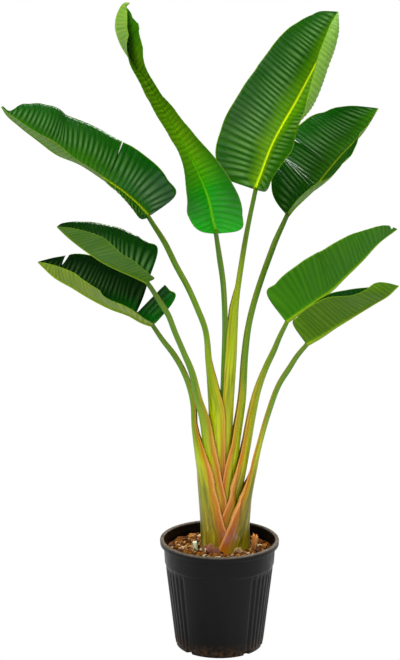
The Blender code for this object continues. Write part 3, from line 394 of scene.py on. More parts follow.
def grid_quads(rows, columns, start=0, flip=False, wrap=False):
    """Quads between the points of a grid; wrap joins the last column to the first."""
    cells = columns if wrap else columns - 1
    row, column = np.meshgrid(np.arange(rows - 1), np.arange(cells), indexing="ij")
    here = start + row * columns + column
    beside = start + row * columns + (column + 1) % columns
    quads = np.stack([here, beside, beside + columns, here + columns], -1).reshape(-1, 4)
    return quads[:, ::-1] if flip else quads


def rim_quads(rows, columns, offset, flip=False):
    """Quads joining the edges of two equal grids, the second offset points on."""
    index = np.arange(rows * columns).reshape(rows, columns)
    ring = np.concatenate([index[0, :-1], index[:-1, -1], index[-1, :0:-1], index[:0:-1, 0]])
    after = np.roll(ring, -1)
    quads = np.stack([ring, ring + offset, after + offset, after], -1)
    return quads[:, ::-1] if flip else quads


def turned_out(thing):
    """Turn a closed mesh's faces outwards if its signed volume is negative."""
    mesh = thing.data
    mesh.calc_loop_triangles()
    corners = np.empty(len(mesh.loop_triangles) * 3, np.int32)
    mesh.loop_triangles.foreach_get("vertices", corners)
    points = np.empty(len(mesh.vertices) * 3, np.float32)
    mesh.vertices.foreach_get("co", points)
    a, b, c = points.reshape(-1, 3)[corners.reshape(-1, 3).T].astype(float)
    if np.einsum("ij,ij->", a, np.cross(b, c)) < 0:
        mesh.flip_normals()
    return thing


def skin_mesh(name, top, under, flip=False):
    """A closed skin: two equal grids of points, and the strip that joins their edges."""
    rows, columns, _ = top.shape
    count = rows * columns
    faces = np.concatenate([
        grid_quads(rows, columns, 0, flip),
        grid_quads(rows, columns, count, not flip),
        rim_quads(rows, columns, count, flip),
    ])
    return new_mesh(name, np.concatenate([top.reshape(-1, 3), under.reshape(-1, 3)]), faces)


def capped_mesh(name, rings):
    """A closed mesh of rings along a path, with one face over either end."""
    rows, columns, _ = rings.shape
    faces = grid_quads(rows, columns, wrap=True).tolist()
    faces += [list(range(columns))[::-1], list(range((rows - 1) * columns, rows * columns))]
    return turned_out(new_mesh(name, rings, faces))


def poled_mesh(name, rings, poles):
    """A closed mesh of rings about an axis, with a fan of triangles to a pole at either end."""
    rows, columns, _ = rings.shape
    count = rows * columns
    first = np.arange(columns)
    after = (first + 1) % columns
    last = count - columns
    faces = grid_quads(rows, columns, wrap=True).tolist()
    faces += np.stack([np.full(columns, count), after, first], 1).tolist()
    faces += np.stack([np.full(columns, count + 1), last + first, last + after], 1).tolist()
    return turned_out(new_mesh(name, np.concatenate([rings.reshape(-1, 3), poles]), faces))


def settle(thing, finish, node=None):
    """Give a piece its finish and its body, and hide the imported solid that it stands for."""
    thing.data.materials.append(finish)
    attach(thing, "root")
    if node:
        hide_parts(node)


def build_leaf(name, leaf, upper_finish, lower_finish):
    """One blade as a closed skin: upper face, lower face and the edge between them."""
    upper, lower, values = leaf_sheets(name, leaf)
    rows, columns, _ = upper.shape
    corner = np.cross(upper[1, 1] - upper[1, 0], upper[2, 0] - upper[1, 0])
    flip = np.dot(corner, upper[1, 0] - lower[1, 0]) < 0
    thing = skin_mesh("blade_" + name, upper, lower, flip)
    add_values(thing, **{key: np.concatenate([amount.ravel()] * 2) for key, amount in values.items()})
    settle(thing, upper_finish, "leaf_blade_" + name)
    thing.data.materials.append(lower_finish)
    slots = np.ones(len(thing.data.polygons), np.int32)
    slots[:(rows - 1) * (columns - 1)] = 0
    thing.data.polygons.foreach_set("material_index", slots)


# ------------------------------------------------------------- the leaf stalks
# Each stalk, from the innermost out: which rank it stands in, how thick its
# back is at the crown, its spine, how far its sheath wraps to either side at
# each height, where it turns from sheath to free stalk, how deep the open
# channel is from back to edge, and half its breadth.
STALKS = [
    dict(
        name="4", side=-1, back=0.014,
        spine=[(0.007, 0, 0.188), (0.007, 0, 0.360), (0.0065, 0, 0.510), (0.009, 0, 0.610),
               (0.0115, -0.001, 0.710), (0.0105, -0.006, 0.760), (0.007, -0.012, 0.813),
               (-0.001, -0.022, 0.870), (-0.009, -0.030, 0.925)],
        wrap=None, free=(0.0, 0.1), reach=[(0.188, 0.0125), (0.865, 0.0118), (0.925, 0.009)],
        breadth=[(0.188, 0.0058), (0.710, 0.0048), (0.865, 0.0058), (0.925, 0.0046)],
    ),
    dict(
        name="5", side=1, back=0.008,
        spine=[(0.0145, 0, 0.188), (0.0155, 0, 0.310), (0.018, 0, 0.374), (0.0225, 0, 0.465),
               (0.0265, 0, 0.554), (0.0315, 0.003, 0.638), (0.034, 0.006, 0.710),
               (0.037, 0.010, 0.778), (0.046, 0.015, 0.847), (0.059, 0.020, 0.928),
               (0.074, 0.020, 1.005)],
        wrap=[(0.188, 165), (0.460, 120), (0.577, 93), (0.700, 80), (0.750, 62)],
        free=(0.610, 0.710), reach=[(0.577, 0.026), (0.700, 0.024), (0.750, 0.020), (0.800, 0.0115),
                                  (1.005, 0.009)],
        breadth=[(0.610, 0.0135), (0.710, 0.0125), (0.800, 0.0062), (1.005, 0.0056)],
    ),
    dict(
        name="3", side=-1, back=0.010,
        spine=[(-0.007, 0, 0.188), (-0.009, 0, 0.310), (-0.013, 0, 0.390), (-0.0165, 0, 0.465),
               (-0.0205, 0, 0.554), (-0.0255, 0, 0.640), (-0.032, 0, 0.710), (-0.048, 0, 0.753),
               (-0.068, 0, 0.799), (-0.092, 0, 0.844), (-0.118, 0, 0.898), (-0.150, 0, 0.951)],
        wrap=[(0.188, 165), (0.460, 123), (0.538, 98), (0.576, 68), (0.640, 45)],
        free=(0.540, 0.620), reach=[(0.540, 0.030), (0.576, 0.025), (0.640, 0.0145), (0.700, 0.0122),
                                  (0.891, 0.0118), (0.951, 0.009)],
        breadth=[(0.540, 0.016), (0.610, 0.011), (0.700, 0.0070), (0.891, 0.0058), (0.951, 0.0046)],
    ),
    dict(
        name="6", side=1, back=0.010,
        spine=[(0.026, 0, 0.188), (0.027, 0, 0.290), (0.031, 0, 0.374), (0.040, 0.004, 0.465),
               (0.051, 0.012, 0.554), (0.0555, 0.022, 0.650), (0.0625, 0.032, 0.710),
               (0.0735, 0.040, 0.757), (0.088, 0.045, 0.805), (0.106, 0.050, 0.856),
               (0.123, 0.055, 0.901), (0.143, 0.060, 0.946)],
        wrap=[(0.188, 165), (0.310, 120), (0.380, 90), (0.440, 62), (0.467, 46)],
        free=(0.410, 0.490), reach=[(0.467, 0.020), (0.520, 0.018), (0.640, 0.014), (0.710, 0.0122),
                                  (0.886, 0.0118), (0.946, 0.009)],
        breadth=[(0.410, 0.018), (0.520, 0.012), (0.710, 0.0070), (0.886, 0.0058), (0.946, 0.0046)],
    ),
    dict(
        name="2", side=-1, back=0.0115,
        spine=[(-0.0195, 0, 0.188), (-0.0225, 0, 0.290), (-0.0285, 0, 0.374),
               (-0.0325, -0.004, 0.465), (-0.0395, -0.012, 0.520), (-0.050, -0.018, 0.565),
               (-0.0605, -0.027, 0.622), (-0.077, -0.037, 0.668), (-0.095, -0.045, 0.714),
               (-0.109, -0.050, 0.752), (-0.127, -0.055, 0.782), (-0.144, -0.060, 0.811),
               (-0.153, -0.060, 0.8235)],
        wrap=[(0.188, 165), (0.310, 120), (0.374, 88), (0.422, 69), (0.471, 51), (0.530, 40)],
        free=(0.440, 0.530), reach=[(0.471, 0.026), (0.531, 0.020), (0.563, 0.017), (0.610, 0.014),
                                  (0.670, 0.0122), (0.764, 0.0118), (0.8235, 0.009)],
        breadth=[(0.440, 0.018), (0.530, 0.012), (0.670, 0.0070), (0.764, 0.0058), (0.8235, 0.0046)],
    ),
    dict(
        name="7", side=1, back=0.012,
        spine=[(0.039, 0, 0.188), (0.040, 0, 0.290), (0.0445, 0, 0.354), (0.0525, 0.001, 0.400),
               (0.0625, 0.005, 0.460), (0.072, 0.011, 0.518), (0.084, 0.018, 0.576),
               (0.100, 0.024, 0.622), (0.116, 0.030, 0.656), (0.127, 0.030, 0.684),
               (0.143, 0.030, 0.718)],
        wrap=[(0.188, 165), (0.280, 110), (0.338, 65), (0.399, 47)],
        free=(0.360, 0.440), reach=[(0.399, 0.0225), (0.467, 0.0195), (0.527, 0.018),
                                  (0.576, 0.015), (0.620, 0.0122), (0.658, 0.0118), (0.718, 0.009)],
        breadth=[(0.360, 0.019), (0.467, 0.012), (0.576, 0.0085), (0.658, 0.0058), (0.718, 0.0046)],
    ),
    dict(
        name="1", side=-1, back=0.013,
        spine=[(-0.0335, 0, 0.188), (-0.0355, 0, 0.283), (-0.038, 0, 0.358), (-0.0475, 0.002, 0.430),
               (-0.0540, 0.006, 0.498), (-0.057, 0.014, 0.545), (-0.067, 0.021, 0.585),
               (-0.081, 0.026, 0.618), (-0.099, 0.030, 0.648), (-0.123, 0.030, 0.680),
               (-0.144, 0.030, 0.712)],
        wrap=[(0.188, 165), (0.240, 125), (0.281, 95), (0.358, 64), (0.430, 46)],
        free=(0.390, 0.480), reach=[(0.390, 0.026), (0.430, 0.022), (0.500, 0.0125), (0.554, 0.0122),
                                  (0.652, 0.0118), (0.712, 0.009)],
        breadth=[(0.390, 0.021), (0.430, 0.016), (0.500, 0.0075), (0.554, 0.006),
                 (0.652, 0.0058), (0.712, 0.0046)],
    ),
    dict(
        name="8", side=1, back=0.015,
        spine=[(0.0565, 0, 0.188), (0.0575, 0, 0.260), (0.062, 0, 0.330), (0.073, -0.003, 0.400),
               (0.087, -0.015, 0.470), (0.105, -0.027, 0.540), (0.125, -0.040, 0.600),
               (0.145, -0.050, 0.636), (0.162, -0.055, 0.665), (0.182, -0.060, 0.691)],
        wrap=[(0.188, 125), (0.230, 104), (0.265, 82), (0.310, 58), (0.350, 40)],
        free=(0.310, 0.390), reach=[(0.310, 0.026), (0.360, 0.018), (0.410, 0.0145), (0.460, 0.0120),
                                  (0.631, 0.0118), (0.691, 0.009)],
        breadth=[(0.310, 0.022), (0.360, 0.014), (0.460, 0.0078), (0.631, 0.0058), (0.691, 0.0046)],
    ),
]
LAYER_GAP = 0.0014
LAYER_OVERRUN = math.radians(28)
HEART_MARGIN = 0.002
SHEATH_EDGE = 0.0013
SHEATH_FALL = 2.4
WRAP_LIMIT = 108
CHANNEL_OPEN = 0.024
CHANNEL_SHUT = 0.0122
STALK_SHIFT = 0.0010
ROUND = 120
STALK_ROWS = 110
STALK_ARC = 37
STALK_LEAN = 1.6
CHANNEL_TURN = math.radians(105)
TIP_RUN, TIP_SIZE = 0.006, 0.55


def held(places, pairs):
    """Straight runs between (place, amount) pairs, holding the end amounts."""
    return np.interp(places, [pair[0] for pair in pairs], [pair[1] for pair in pairs])


def read_round(radii, angle, row=None):
    """Radii stored at even turns round the crown, read at any turn, row by row."""
    place = np.mod(angle, 2 * math.pi) * ROUND / (2 * math.pi)
    low = np.floor(place).astype(int)
    row = np.arange(len(radii))[:, None] if row is None else row
    share = place - low
    return radii[row, low % ROUND] * (1 - share) + radii[row, (low + 1) % ROUND] * share


def back_turn(stalk):
    """The turn round the crown that a stalk's back faces."""
    return 0.0 if stalk["side"] > 0 else math.pi


def sheath_layer(stalk, heights, centre, radii, swing):
    """Inner and outer radius of a sheath laid on what is already in the clump.

    It is thickest at its back and thins to its margins as a power of the
    cosine of half the turn from the back.
    """
    towards = back_turn(stalk)
    spine = held(heights, [(point[2], point[0]) for point in stalk["spine"]])
    back = stalk["back"]
    inner = read_round(radii, towards + swing) + LAYER_GAP
    wanted = np.abs(spine - centre) - back / 2
    already = read_round(radii, np.full((len(heights), 1), towards))[:, 0] + LAYER_GAP
    lift = np.maximum(0.0, wanted - already)
    inner = inner + lift[:, None] * np.cos(swing / 2) ** 6
    return inner, inner + SHEATH_EDGE + (back - SHEATH_EDGE) * np.cos(swing / 2) ** (2 * SHEATH_FALL)


def wrap_of(stalk, heights):
    """How far a sheath reaches round the clump to either side of its back."""
    return np.radians(np.minimum(held(heights, stalk["wrap"]), WRAP_LIMIT))


def clump_at(heights, last=None):
    """Centre and radii of the clump at each height, of the sheaths inside one stalk."""
    heart = STALKS[0]
    centre = held(heights, [(point[2], point[0]) for point in heart["spine"]])
    radii = np.repeat((0.5 * held(heights, heart["reach"]) + HEART_MARGIN)[:, None], ROUND, axis=1)
    turn = np.arange(ROUND) * 2 * math.pi / ROUND
    for stalk in STALKS[1:]:
        if stalk is last:
            break
        swing = (turn - back_turn(stalk) + math.pi) % (2 * math.pi) - math.pi
        swing = np.repeat(swing[None], len(heights), 0)
        outer = sheath_layer(stalk, heights, centre, radii, swing)[1]
        covered = np.abs(swing) <= wrap_of(stalk, heights)[:, None] + LAYER_OVERRUN
        radii = np.maximum(radii, np.where(covered, outer, 0.0))
    return centre, radii


def round_points(centre, radius, turn, heights):
    """Points at radii and turns round the crown's axis."""
    level = np.repeat(heights[:, None], turn.shape[1], axis=1)
    return np.stack([centre[:, None] + radius * np.cos(turn), radius * np.sin(turn), level], -1)


def sheath_rings(stalk, heights, spread):
    """Outlines of a sheath at each height: its outer face, then its inner face back."""
    centre, radii = clump_at(heights, stalk)
    swing = wrap_of(stalk, heights)[:, None] * spread[None, :]
    inner, outer = sheath_layer(stalk, heights, centre, radii, swing)
    turn = swing + back_turn(stalk)
    both = np.concatenate([outer, inner[:, ::-1]], axis=1)
    return round_points(centre, both, np.concatenate([turn, turn[:, ::-1]], axis=1), heights)


def stalk_rings(stalk, place, tangent, spread):
    """Outlines of a free stalk: a round back, and a channel along its inside.

    The back is part of an ellipse.  The inside is a smaller ellipse while the
    sheath is open, and nearly fills the first once it has closed.
    """
    rows = len(place)
    lean = np.stack([tangent[:, 0], tangent[:, 1], np.zeros(rows)], 1)
    lean = lean * (STALK_LEAN if stalk["wrap"] else 0)
    across = unit(np.cross(tangent, np.array([float(stalk["side"]), 0.0, 0.0]) + lean))
    outward = unit(np.cross(across, tangent))
    deep = held(place[:, 2], stalk["reach"])[:, None]
    half = held(place[:, 2], stalk["breadth"])[:, None]
    closed = np.clip((CHANNEL_OPEN - deep) / (CHANNEL_OPEN - CHANNEL_SHUT), 0, 1)
    radial = deep / (1 - math.cos(CHANNEL_TURN))
    angle = spread[None, :] * CHANNEL_TURN
    wall = np.minimum(0.35 * deep, 0.006)
    shut_n = radial * math.cos(CHANNEL_TURN) + 0.25 * deep * (1 - spread ** 2)
    shut_s = 0.80 * half * math.sin(CHANNEL_TURN) * spread
    inside_n = (radial - wall) * np.cos(angle)
    inside_s = (half - SHEATH_EDGE) * np.sin(angle)
    inside_n = inside_n + closed * (shut_n - inside_n)
    inside_s = inside_s + closed * (shut_s - inside_s)
    offset = radial - np.minimum(deep, stalk["back"]) / 2 - STALK_SHIFT * closed
    normal = np.concatenate([radial * np.cos(angle), inside_n[:, ::-1]], axis=1) - offset
    sideways = np.concatenate([half * np.sin(angle), inside_s[:, ::-1]], axis=1)
    return place[:, None] + normal[..., None] * outward[:, None] + sideways[..., None] * across[:, None]


def build_stalk(stalk, finish):
    """One stalk from crown to blade: sheath outlines that pass into stalk outlines."""
    spine, tangent, length = even_path(stalk["spine"], np.linspace(0, 1, STALK_ROWS))
    spread = np.sin(np.linspace(-1, 1, STALK_ARC) * math.pi / 2)
    start, end = stalk["free"]
    share = np.clip((spine[:, 2] - start) / (end - start), 0, 1)
    share = (share * share * (3 - 2 * share))[:, None, None]
    rings = stalk_rings(stalk, spine, tangent, spread)
    if stalk["wrap"]:
        rings = share * rings + (1 - share) * sheath_rings(stalk, spine[:, 2], spread)
    tip = spine[-1] + tangent[-1] * TIP_RUN
    rings = np.concatenate([rings, tip + TIP_SIZE * (rings[-1:] - spine[-1])])
    rows, columns, _ = rings.shape
    thing = capped_mesh("stalk_" + stalk["name"], rings)
    edge = np.concatenate([np.abs(spread), np.abs(spread)])
    inner = np.concatenate([np.zeros(STALK_ARC), np.ones(STALK_ARC)])
    side = np.concatenate([spread, spread[::-1]])
    add_values(
        thing, edge=np.tile(edge, rows), inner=np.tile(inner, rows), side=np.tile(side, rows),
        run=np.repeat(np.linspace(0, length, rows), columns),
    )
    settle(thing, finish, "leaf_stalk_" + stalk["name"])


# --------------------------------------------------------------------- the pot
POT_HEIGHT = 0.242
RIM_RADIUS = 0.130
RIM_DEPTH = 0.012
RIM_WIDTH = 0.0085
COLLAR_RADIUS = 0.1195
COLLAR_DEPTH = 0.054
SHOULDER_RADIUS = 0.1175
FOOT_RADIUS = 0.0955
WALL = 0.0025
MIX_TOP = 0.216
FRONT = math.radians(-93)
PANELS = 3
PANEL_HALF = math.radians(38)
RIBS_BETWEEN = 6
RIB_RELIEF = 0.0021
DRAIN_HALF = math.radians(5)
DRAIN_RISE = 0.009
DRAIN_SINK = 0.0065
POT_POLES = ((0.0, 0.0, 0.0035), (0.0, 0.0, 0.006))
POT_STEP = 0.004
POT_TURNS = 720


def smooth_step(value, low, high):
    """Nought below low, one above high, and an easy curve between."""
    x = np.clip((value - low) / (high - low), 0, 1)
    return x * x * (3 - 2 * x)


def round_corner(corner, before, after, radius, steps=6):
    """Points of a rounded corner of a turned profile: a quadratic curve between two cuts."""
    corner, before, after = (np.array(point, float) for point in (corner, before, after))
    start = corner + unit(before - corner) * radius
    end = corner + unit(after - corner) * radius
    x = np.linspace(0, 1, steps)[:, None]
    return (1 - x) ** 2 * start + 2 * x * (1 - x) * corner + x ** 2 * end


def rounded_profile(corners):
    """A closed turned profile with every (radius, height, rounding) corner rounded."""
    points = []
    for index, (radius, height, rounding) in enumerate(corners):
        before = corners[index - 1][:2]
        after = corners[(index + 1) % len(corners)][:2]
        if rounding == 0:
            points.append(np.array([[radius, height]]))
        else:
            points.append(round_corner((radius, height), before, after, rounding))
    return np.concatenate(points)


def pot_profile():
    """Radii and heights of the pot's section, from the underside round the rim to the inside."""
    rim_low = POT_HEIGHT - RIM_DEPTH
    collar_low = POT_HEIGHT - COLLAR_DEPTH
    rim_in = RIM_RADIUS - RIM_WIDTH
    outline = rounded_profile([
        (0.0, POT_POLES[0][2], 0), (0.055, 0.0035, 0.001), (0.058, 0.0, 0.001), (FOOT_RADIUS, 0.0, 0.004),
        (SHOULDER_RADIUS, collar_low - 0.001, 0.0012), (COLLAR_RADIUS, collar_low + 0.0012, 0.0008),
        (COLLAR_RADIUS + 0.0022, rim_low - 0.0015, 0.0012),
        (RIM_RADIUS - 0.0006, rim_low - 0.0006, 0.0022), (RIM_RADIUS, POT_HEIGHT, 0.0036),
        (rim_in, POT_HEIGHT, 0.0026), (rim_in - 0.0012, rim_low - 0.002, 0.0012),
        (SHOULDER_RADIUS - WALL, collar_low - 0.002, 0.001), (FOOT_RADIUS - WALL, 0.008, 0.002),
        (0.0, POT_POLES[1][2], 0),
    ])
    steps = [outline[:1]]
    for start, end in zip(outline[:-1], outline[1:]):
        count = max(1, int(np.linalg.norm(end - start) / POT_STEP))
        x = np.linspace(0, 1, count + 1)[1:, None]
        steps.append(start + (end - start) * x)
    return np.concatenate(steps)[1:-1].T


def pot_relief(radius, height, turn):
    """How far the wall stands out or in at each height and turn.

    Between smooth panels the wall has upright ribs, a raised cosine in the
    turn, that fade out under the collar and above the foot.  At each panel's
    two edges a drain slot is sunk into the foot.
    """
    collar_low = POT_HEIGHT - COLLAR_DEPTH
    pitch = 2 * math.pi / PANELS
    from_panel = np.abs((turn - FRONT + pitch / 2) % pitch - pitch / 2)
    between = (from_panel - PANEL_HALF) / (pitch / 2 - PANEL_HALF)
    ribbed = smooth_step(between, 0.0, 0.05)
    wave = 0.5 - 0.5 * np.cos(between * math.pi * RIBS_BETWEEN)
    top = np.argmax(height)
    outside = np.arange(len(radius)) < top
    inside = (np.arange(len(radius)) > top) & (height > 0.02)
    upright = smooth_step(height, 0.006, 0.014) * (
        1 - smooth_step(height, collar_low - 0.012, collar_low - 0.003))
    sunk = ((outside | inside) * upright)[:, None]
    dent = RIB_RELIEF * sunk * (ribbed * wave ** 1.5)[None, :]
    swell = 0.0007 * sunk * np.cos(between * math.pi / 2)[None, :] * (1 - ribbed)[None, :]
    slot = smooth_step(
        -np.abs(from_panel - PANEL_HALF - math.radians(3)), -DRAIN_HALF, -0.6 * DRAIN_HALF)
    low = outside * (radius > 0.08) * (1 - smooth_step(height, DRAIN_RISE * 0.8, DRAIN_RISE))
    wobble = 0.0004 * np.cos(2 * turn + 1.0) * smooth_step(height, 0.15, 0.24)[:, None]
    return swell + wobble - dent - DRAIN_SINK * low[:, None] * slot[None, :]


def build_pot(finish):
    """The pot: a rounded profile turned about the axis, its lower wall fluted."""
    radius, height = pot_profile()
    turn = np.linspace(0, 2 * math.pi, POT_TURNS + 1)[:-1]
    radial = radius[:, None] + pot_relief(radius, height, turn)
    rings = np.stack([radial * np.cos(turn), radial * np.sin(turn), height[:, None] + 0 * radial], -1)
    settle(poled_mesh("nursery_pot", rings, np.array(POT_POLES)), finish, "pot")


# --------------------------------------------------------------------- the mix
MIX_RADIUS = 0.1185
CHIP_COUNT = 1500
CHIP_SIDES = 8
CHIP_LEAST = np.array((0.0045, 0.003, 0.0014))
CHIP_GROWTH = np.array((0.013, 0.007, 0.0028))
BARK_STREWN = 0.1165
BARK_REACH = 0.1150
BARK_SEED = 11
MIX_SETTLED = 0.002
MOUND_CENTRE = 0.007
MOUND_HEIGHT = 0.006
MOUND_SPAN = (0.055, 0.118)
LUMPS = ((0.0022, 0.022), (0.0014, 0.009), (0.0009, 0.0038))
MIX_SIDE = ((0.114, 0.19), (0.092, 0.012), (0.045, 0.010))
LATTICE = 64


def noise_2d(x, y, seed):
    """Smooth random hills between -1 and 1: seeded values on a lattice, eased between."""
    values = np.random.default_rng(seed).uniform(-1, 1, (LATTICE, LATTICE))
    i, j = np.floor(x).astype(int), np.floor(y).astype(int)
    u, v = x - i, y - j
    u, v = u * u * (3 - 2 * u), v * v * (3 - 2 * v)
    i, j, i1, j1 = i % LATTICE, j % LATTICE, (i + 1) % LATTICE, (j + 1) % LATTICE
    near = values[i, j] * (1 - u) + values[i1, j] * u
    far = values[i, j1] * (1 - u) + values[i1, j1] * u
    return near * (1 - v) + far * v


def mix_level(x, y):
    """Height of the mix: a mound towards the crown with lumps of three sizes."""
    mound = 1 - smooth_step(np.hypot(x - MOUND_CENTRE, y), *MOUND_SPAN)
    level = MIX_TOP - MIX_SETTLED + MOUND_HEIGHT * mound
    for seed, (height, size) in enumerate(LUMPS, 1):
        level = level + height * noise_2d(x / size, y / size, seed)
    return level


def build_mix(finish):
    """The potting mix: a lumpy top in rings about the axis, closed by a tapering side."""
    radius = np.linspace(0, MIX_RADIUS, 90)[1:]
    turn = np.linspace(0, 2 * math.pi, 241)[:-1]
    x = radius[:, None] * np.cos(turn)
    y = radius[:, None] * np.sin(turn)
    top = np.stack([x, y, mix_level(x, y)], -1)
    side = [
        np.stack([ring * np.cos(turn), ring * np.sin(turn), np.full(turn.shape, height)], -1)[None]
        for ring, height in MIX_SIDE
    ]
    centre = np.zeros(1)
    poles = np.array([[0, 0, mix_level(centre, centre)[0]], [0, 0, MIX_SIDE[-1][1]]])
    thing = poled_mesh("potting_mix_top", np.concatenate([top] + side), poles)
    settle(thing, finish, "potting_mix")


def chip_points(size, spin, tilt, centre, rough):
    """Flat, ragged chips: two rings and two middle points each, thin and broken at the edge.

    The arrays hold one row a chip; every ring radius is shaken by its own
    random share, and the whole chip is turned by its spin and tilt.
    """
    chips = len(size)
    turn = np.arange(CHIP_SIDES) * 2 * math.pi / CHIP_SIDES
    ragged = 1 + rough[:, :CHIP_SIDES] * 0.38
    ring_x = np.cos(turn) * ragged * size[:, :1] / 2
    ring_y = np.sin(turn) * ragged * size[:, 1:2] / 2
    lift = rough[:, CHIP_SIDES:] * size[:, 2:] * 0.25
    upper = np.stack([0.86 * ring_x, 0.86 * ring_y, size[:, 2:] / 2 + lift], -1)
    lower = np.stack([ring_x, ring_y, -size[:, 2:] / 2 + lift], -1)
    middle = np.zeros((chips, 1, 3))
    middle[:, 0, 2] = size[:, 2] * 0.62
    points = np.concatenate([upper, lower, middle, -middle], axis=1)
    c, s = np.cos(spin)[:, None], np.sin(spin)[:, None]
    ct, st = np.cos(tilt)[:, None], np.sin(tilt)[:, None]
    x, y, z = points[..., 0], points[..., 1], points[..., 2]
    x, z = x * ct + z * st, z * ct - x * st
    x, y = x * c - y * s, x * s + y * c
    return np.stack([x, y, z], -1) + centre[:, None]


def chip_faces(chips):
    """Faces of every chip: two fans and the band between the rings."""
    first = np.arange(CHIP_SIDES)
    after = (first + 1) % CHIP_SIDES
    middle = np.full(CHIP_SIDES, 2 * CHIP_SIDES)
    top = np.stack([first, after, middle], 1)
    base = np.stack([CHIP_SIDES + after, CHIP_SIDES + first, middle + 1], 1)
    band = np.stack([first, CHIP_SIDES + first, CHIP_SIDES + after, after], 1)
    starts = np.arange(chips)[:, None, None] * (2 * CHIP_SIDES + 2)
    fans = (starts + np.concatenate([top, base])).reshape(-1, 3)
    return fans.tolist() + (starts + band).reshape(-1, 4).tolist()


def build_bark(finish):
    """Loose bark: hundreds of small ragged chips strewn over the mix, clear of the crown."""
    draw = np.random.default_rng(BARK_SEED)
    radius = BARK_STREWN * np.sqrt(draw.uniform(0.02, 1, CHIP_COUNT * 2))
    turn = draw.uniform(0, 2 * math.pi, CHIP_COUNT * 2)
    x, y = radius * np.cos(turn), radius * np.sin(turn)
    centre, radii = clump_at(np.array([MIX_TOP]))
    around = np.arctan2(y, x - centre[0])
    clear = np.hypot(x - centre[0], y) > read_round(radii, around[None, :])[0] + 0.001
    x, y = x[clear][:CHIP_COUNT], y[clear][:CHIP_COUNT]
    chips = len(x)
    large = draw.uniform(0, 1, (chips, 1)) ** 3
    size = (CHIP_LEAST + CHIP_GROWTH * large) * draw.uniform(0.75, 1.25, (chips, 3))
    inwards = np.minimum(1, (BARK_REACH - 0.69 * size[:, 0]) / np.hypot(x, y))
    x, y = x * inwards, y * inwards
    level = mix_level(x, y) + draw.uniform(-0.0005, 0.0032, chips) + size[:, 2] * 0.3
    points = chip_points(
        size, draw.uniform(0, 2 * math.pi, chips), draw.normal(0, 0.35, chips),
        np.stack([x, y, level], 1), draw.uniform(-1, 1, (chips, 2 * CHIP_SIDES)),
    )
    thing = new_mesh("loose_bark", points, chip_faces(chips))
    thing.data.shade_flat()
    add_values(thing, tone=np.repeat(draw.uniform(0, 1, chips), points.shape[1]))
    settle(thing, finish)


def powered(value, power):
    """A value raised to a power with its sign kept."""
    return np.sign(value) * np.abs(value) ** power


def build_chip(index, finish):
    """One larger bark chip in its packed place: a rounded slab with grooved, broken sides."""
    node = "bark_chip_" + str(index)
    low, high = (np.array(corner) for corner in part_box(node))
    centre, size = (low + high) / 2, (high - low) / 2
    theta = np.linspace(0, 2 * math.pi, 33)[:-1][None, :]
    phi = np.linspace(-math.pi / 2, math.pi / 2, 15)[1:-1][:, None]
    x = powered(np.cos(phi), 0.35) * powered(np.cos(theta), 0.7)
    y = powered(np.cos(phi), 0.35) * powered(np.sin(theta), 0.7)
    z = powered(np.sin(phi), 0.5) + 0 * theta
    ragged = 1 + 0.10 * noise_1d(theta * 3 + 9 * index, 40 + index)
    ragged = ragged + 0.05 * noise_1d(theta * 9, 60 + index)
    grain = 0.16 * noise_2d(y * 5 + 3 * index, x * 1.2, 5)
    points = np.stack([x * ragged, y * ragged, z * (0.92 + grain)], -1) * size * 0.96 + centre
    poles = np.array([points[0].mean(0), points[-1].mean(0)])
    thing = poled_mesh("chip_" + str(index), points, poles)
    add_values(thing, tone=np.full(len(thing.data.vertices), (index * 0.37) % 1.0))
    settle(thing, finish, node)


# ------------------------------------------------- what is left of older leaves
STUB_ROWS = 24
ROOTED = 0.004


def tube_rings(path, radius, turn):
    """Rings about a path, each square to it, at radii given for every row and turn."""
    path = np.asarray(path, float)
    tangent = unit(np.gradient(path, axis=0))
    side = unit(np.cross(tangent, np.array([0.0, 1.0, 0.0])))
    front = np.cross(tangent, side)
    return path[:, None] + radius[..., None] * (
        np.cos(turn)[None, :, None] * side[:, None] + np.sin(turn)[None, :, None] * front[:, None]
    )


def build_stub(node, finish, radius, lean, ragged, cup):
    """A cut stalk end: a ridged tube with a ragged rim and a hollowed cut face."""
    low, high = (np.array(corner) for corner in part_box(node))
    foot = np.array([(low[0] + high[0]) / 2 - lean / 2, (low[1] + high[1]) / 2, MIX_TOP - ROOTED])
    top = np.array([foot[0] + lean, foot[1] - 0.002, high[2] - 0.001])
    turn = np.linspace(0, 2 * math.pi, 49)[:-1]
    climb = np.linspace(0, 1, STUB_ROWS)
    path = foot + (top - foot) * climb[:, None]
    ridges = 1 + 0.05 * np.cos(9 * turn)[None, :] + 0.04 * noise_1d(turn * 5, 7)[None, :]
    outer = radius * ridges * (1.06 - 0.10 * climb[:, None])
    rings = tube_rings(path, outer, turn)
    rim = ragged * noise_1d(turn * 4.3, 23)[None, :] * smooth_step(climb, 0.55, 1.0)[:, None]
    rings[..., 2] += rim
    inward = np.array([0.86, 0.6, 0.3])[:, None, None]
    middle = rings[-1].mean(0)
    cut_face = middle + (rings[-1] - middle) * inward - np.array([0, 0, 1]) * cup * (1 - inward)
    rings = np.concatenate([rings, cut_face])
    rows, columns, _ = rings.shape
    thing = capped_mesh(node + "_skin", rings)
    add_values(thing, climb=np.repeat(np.clip(np.arange(rows) / (STUB_ROWS - 1), 0, 1.2), columns))
    settle(thing, finish, node)


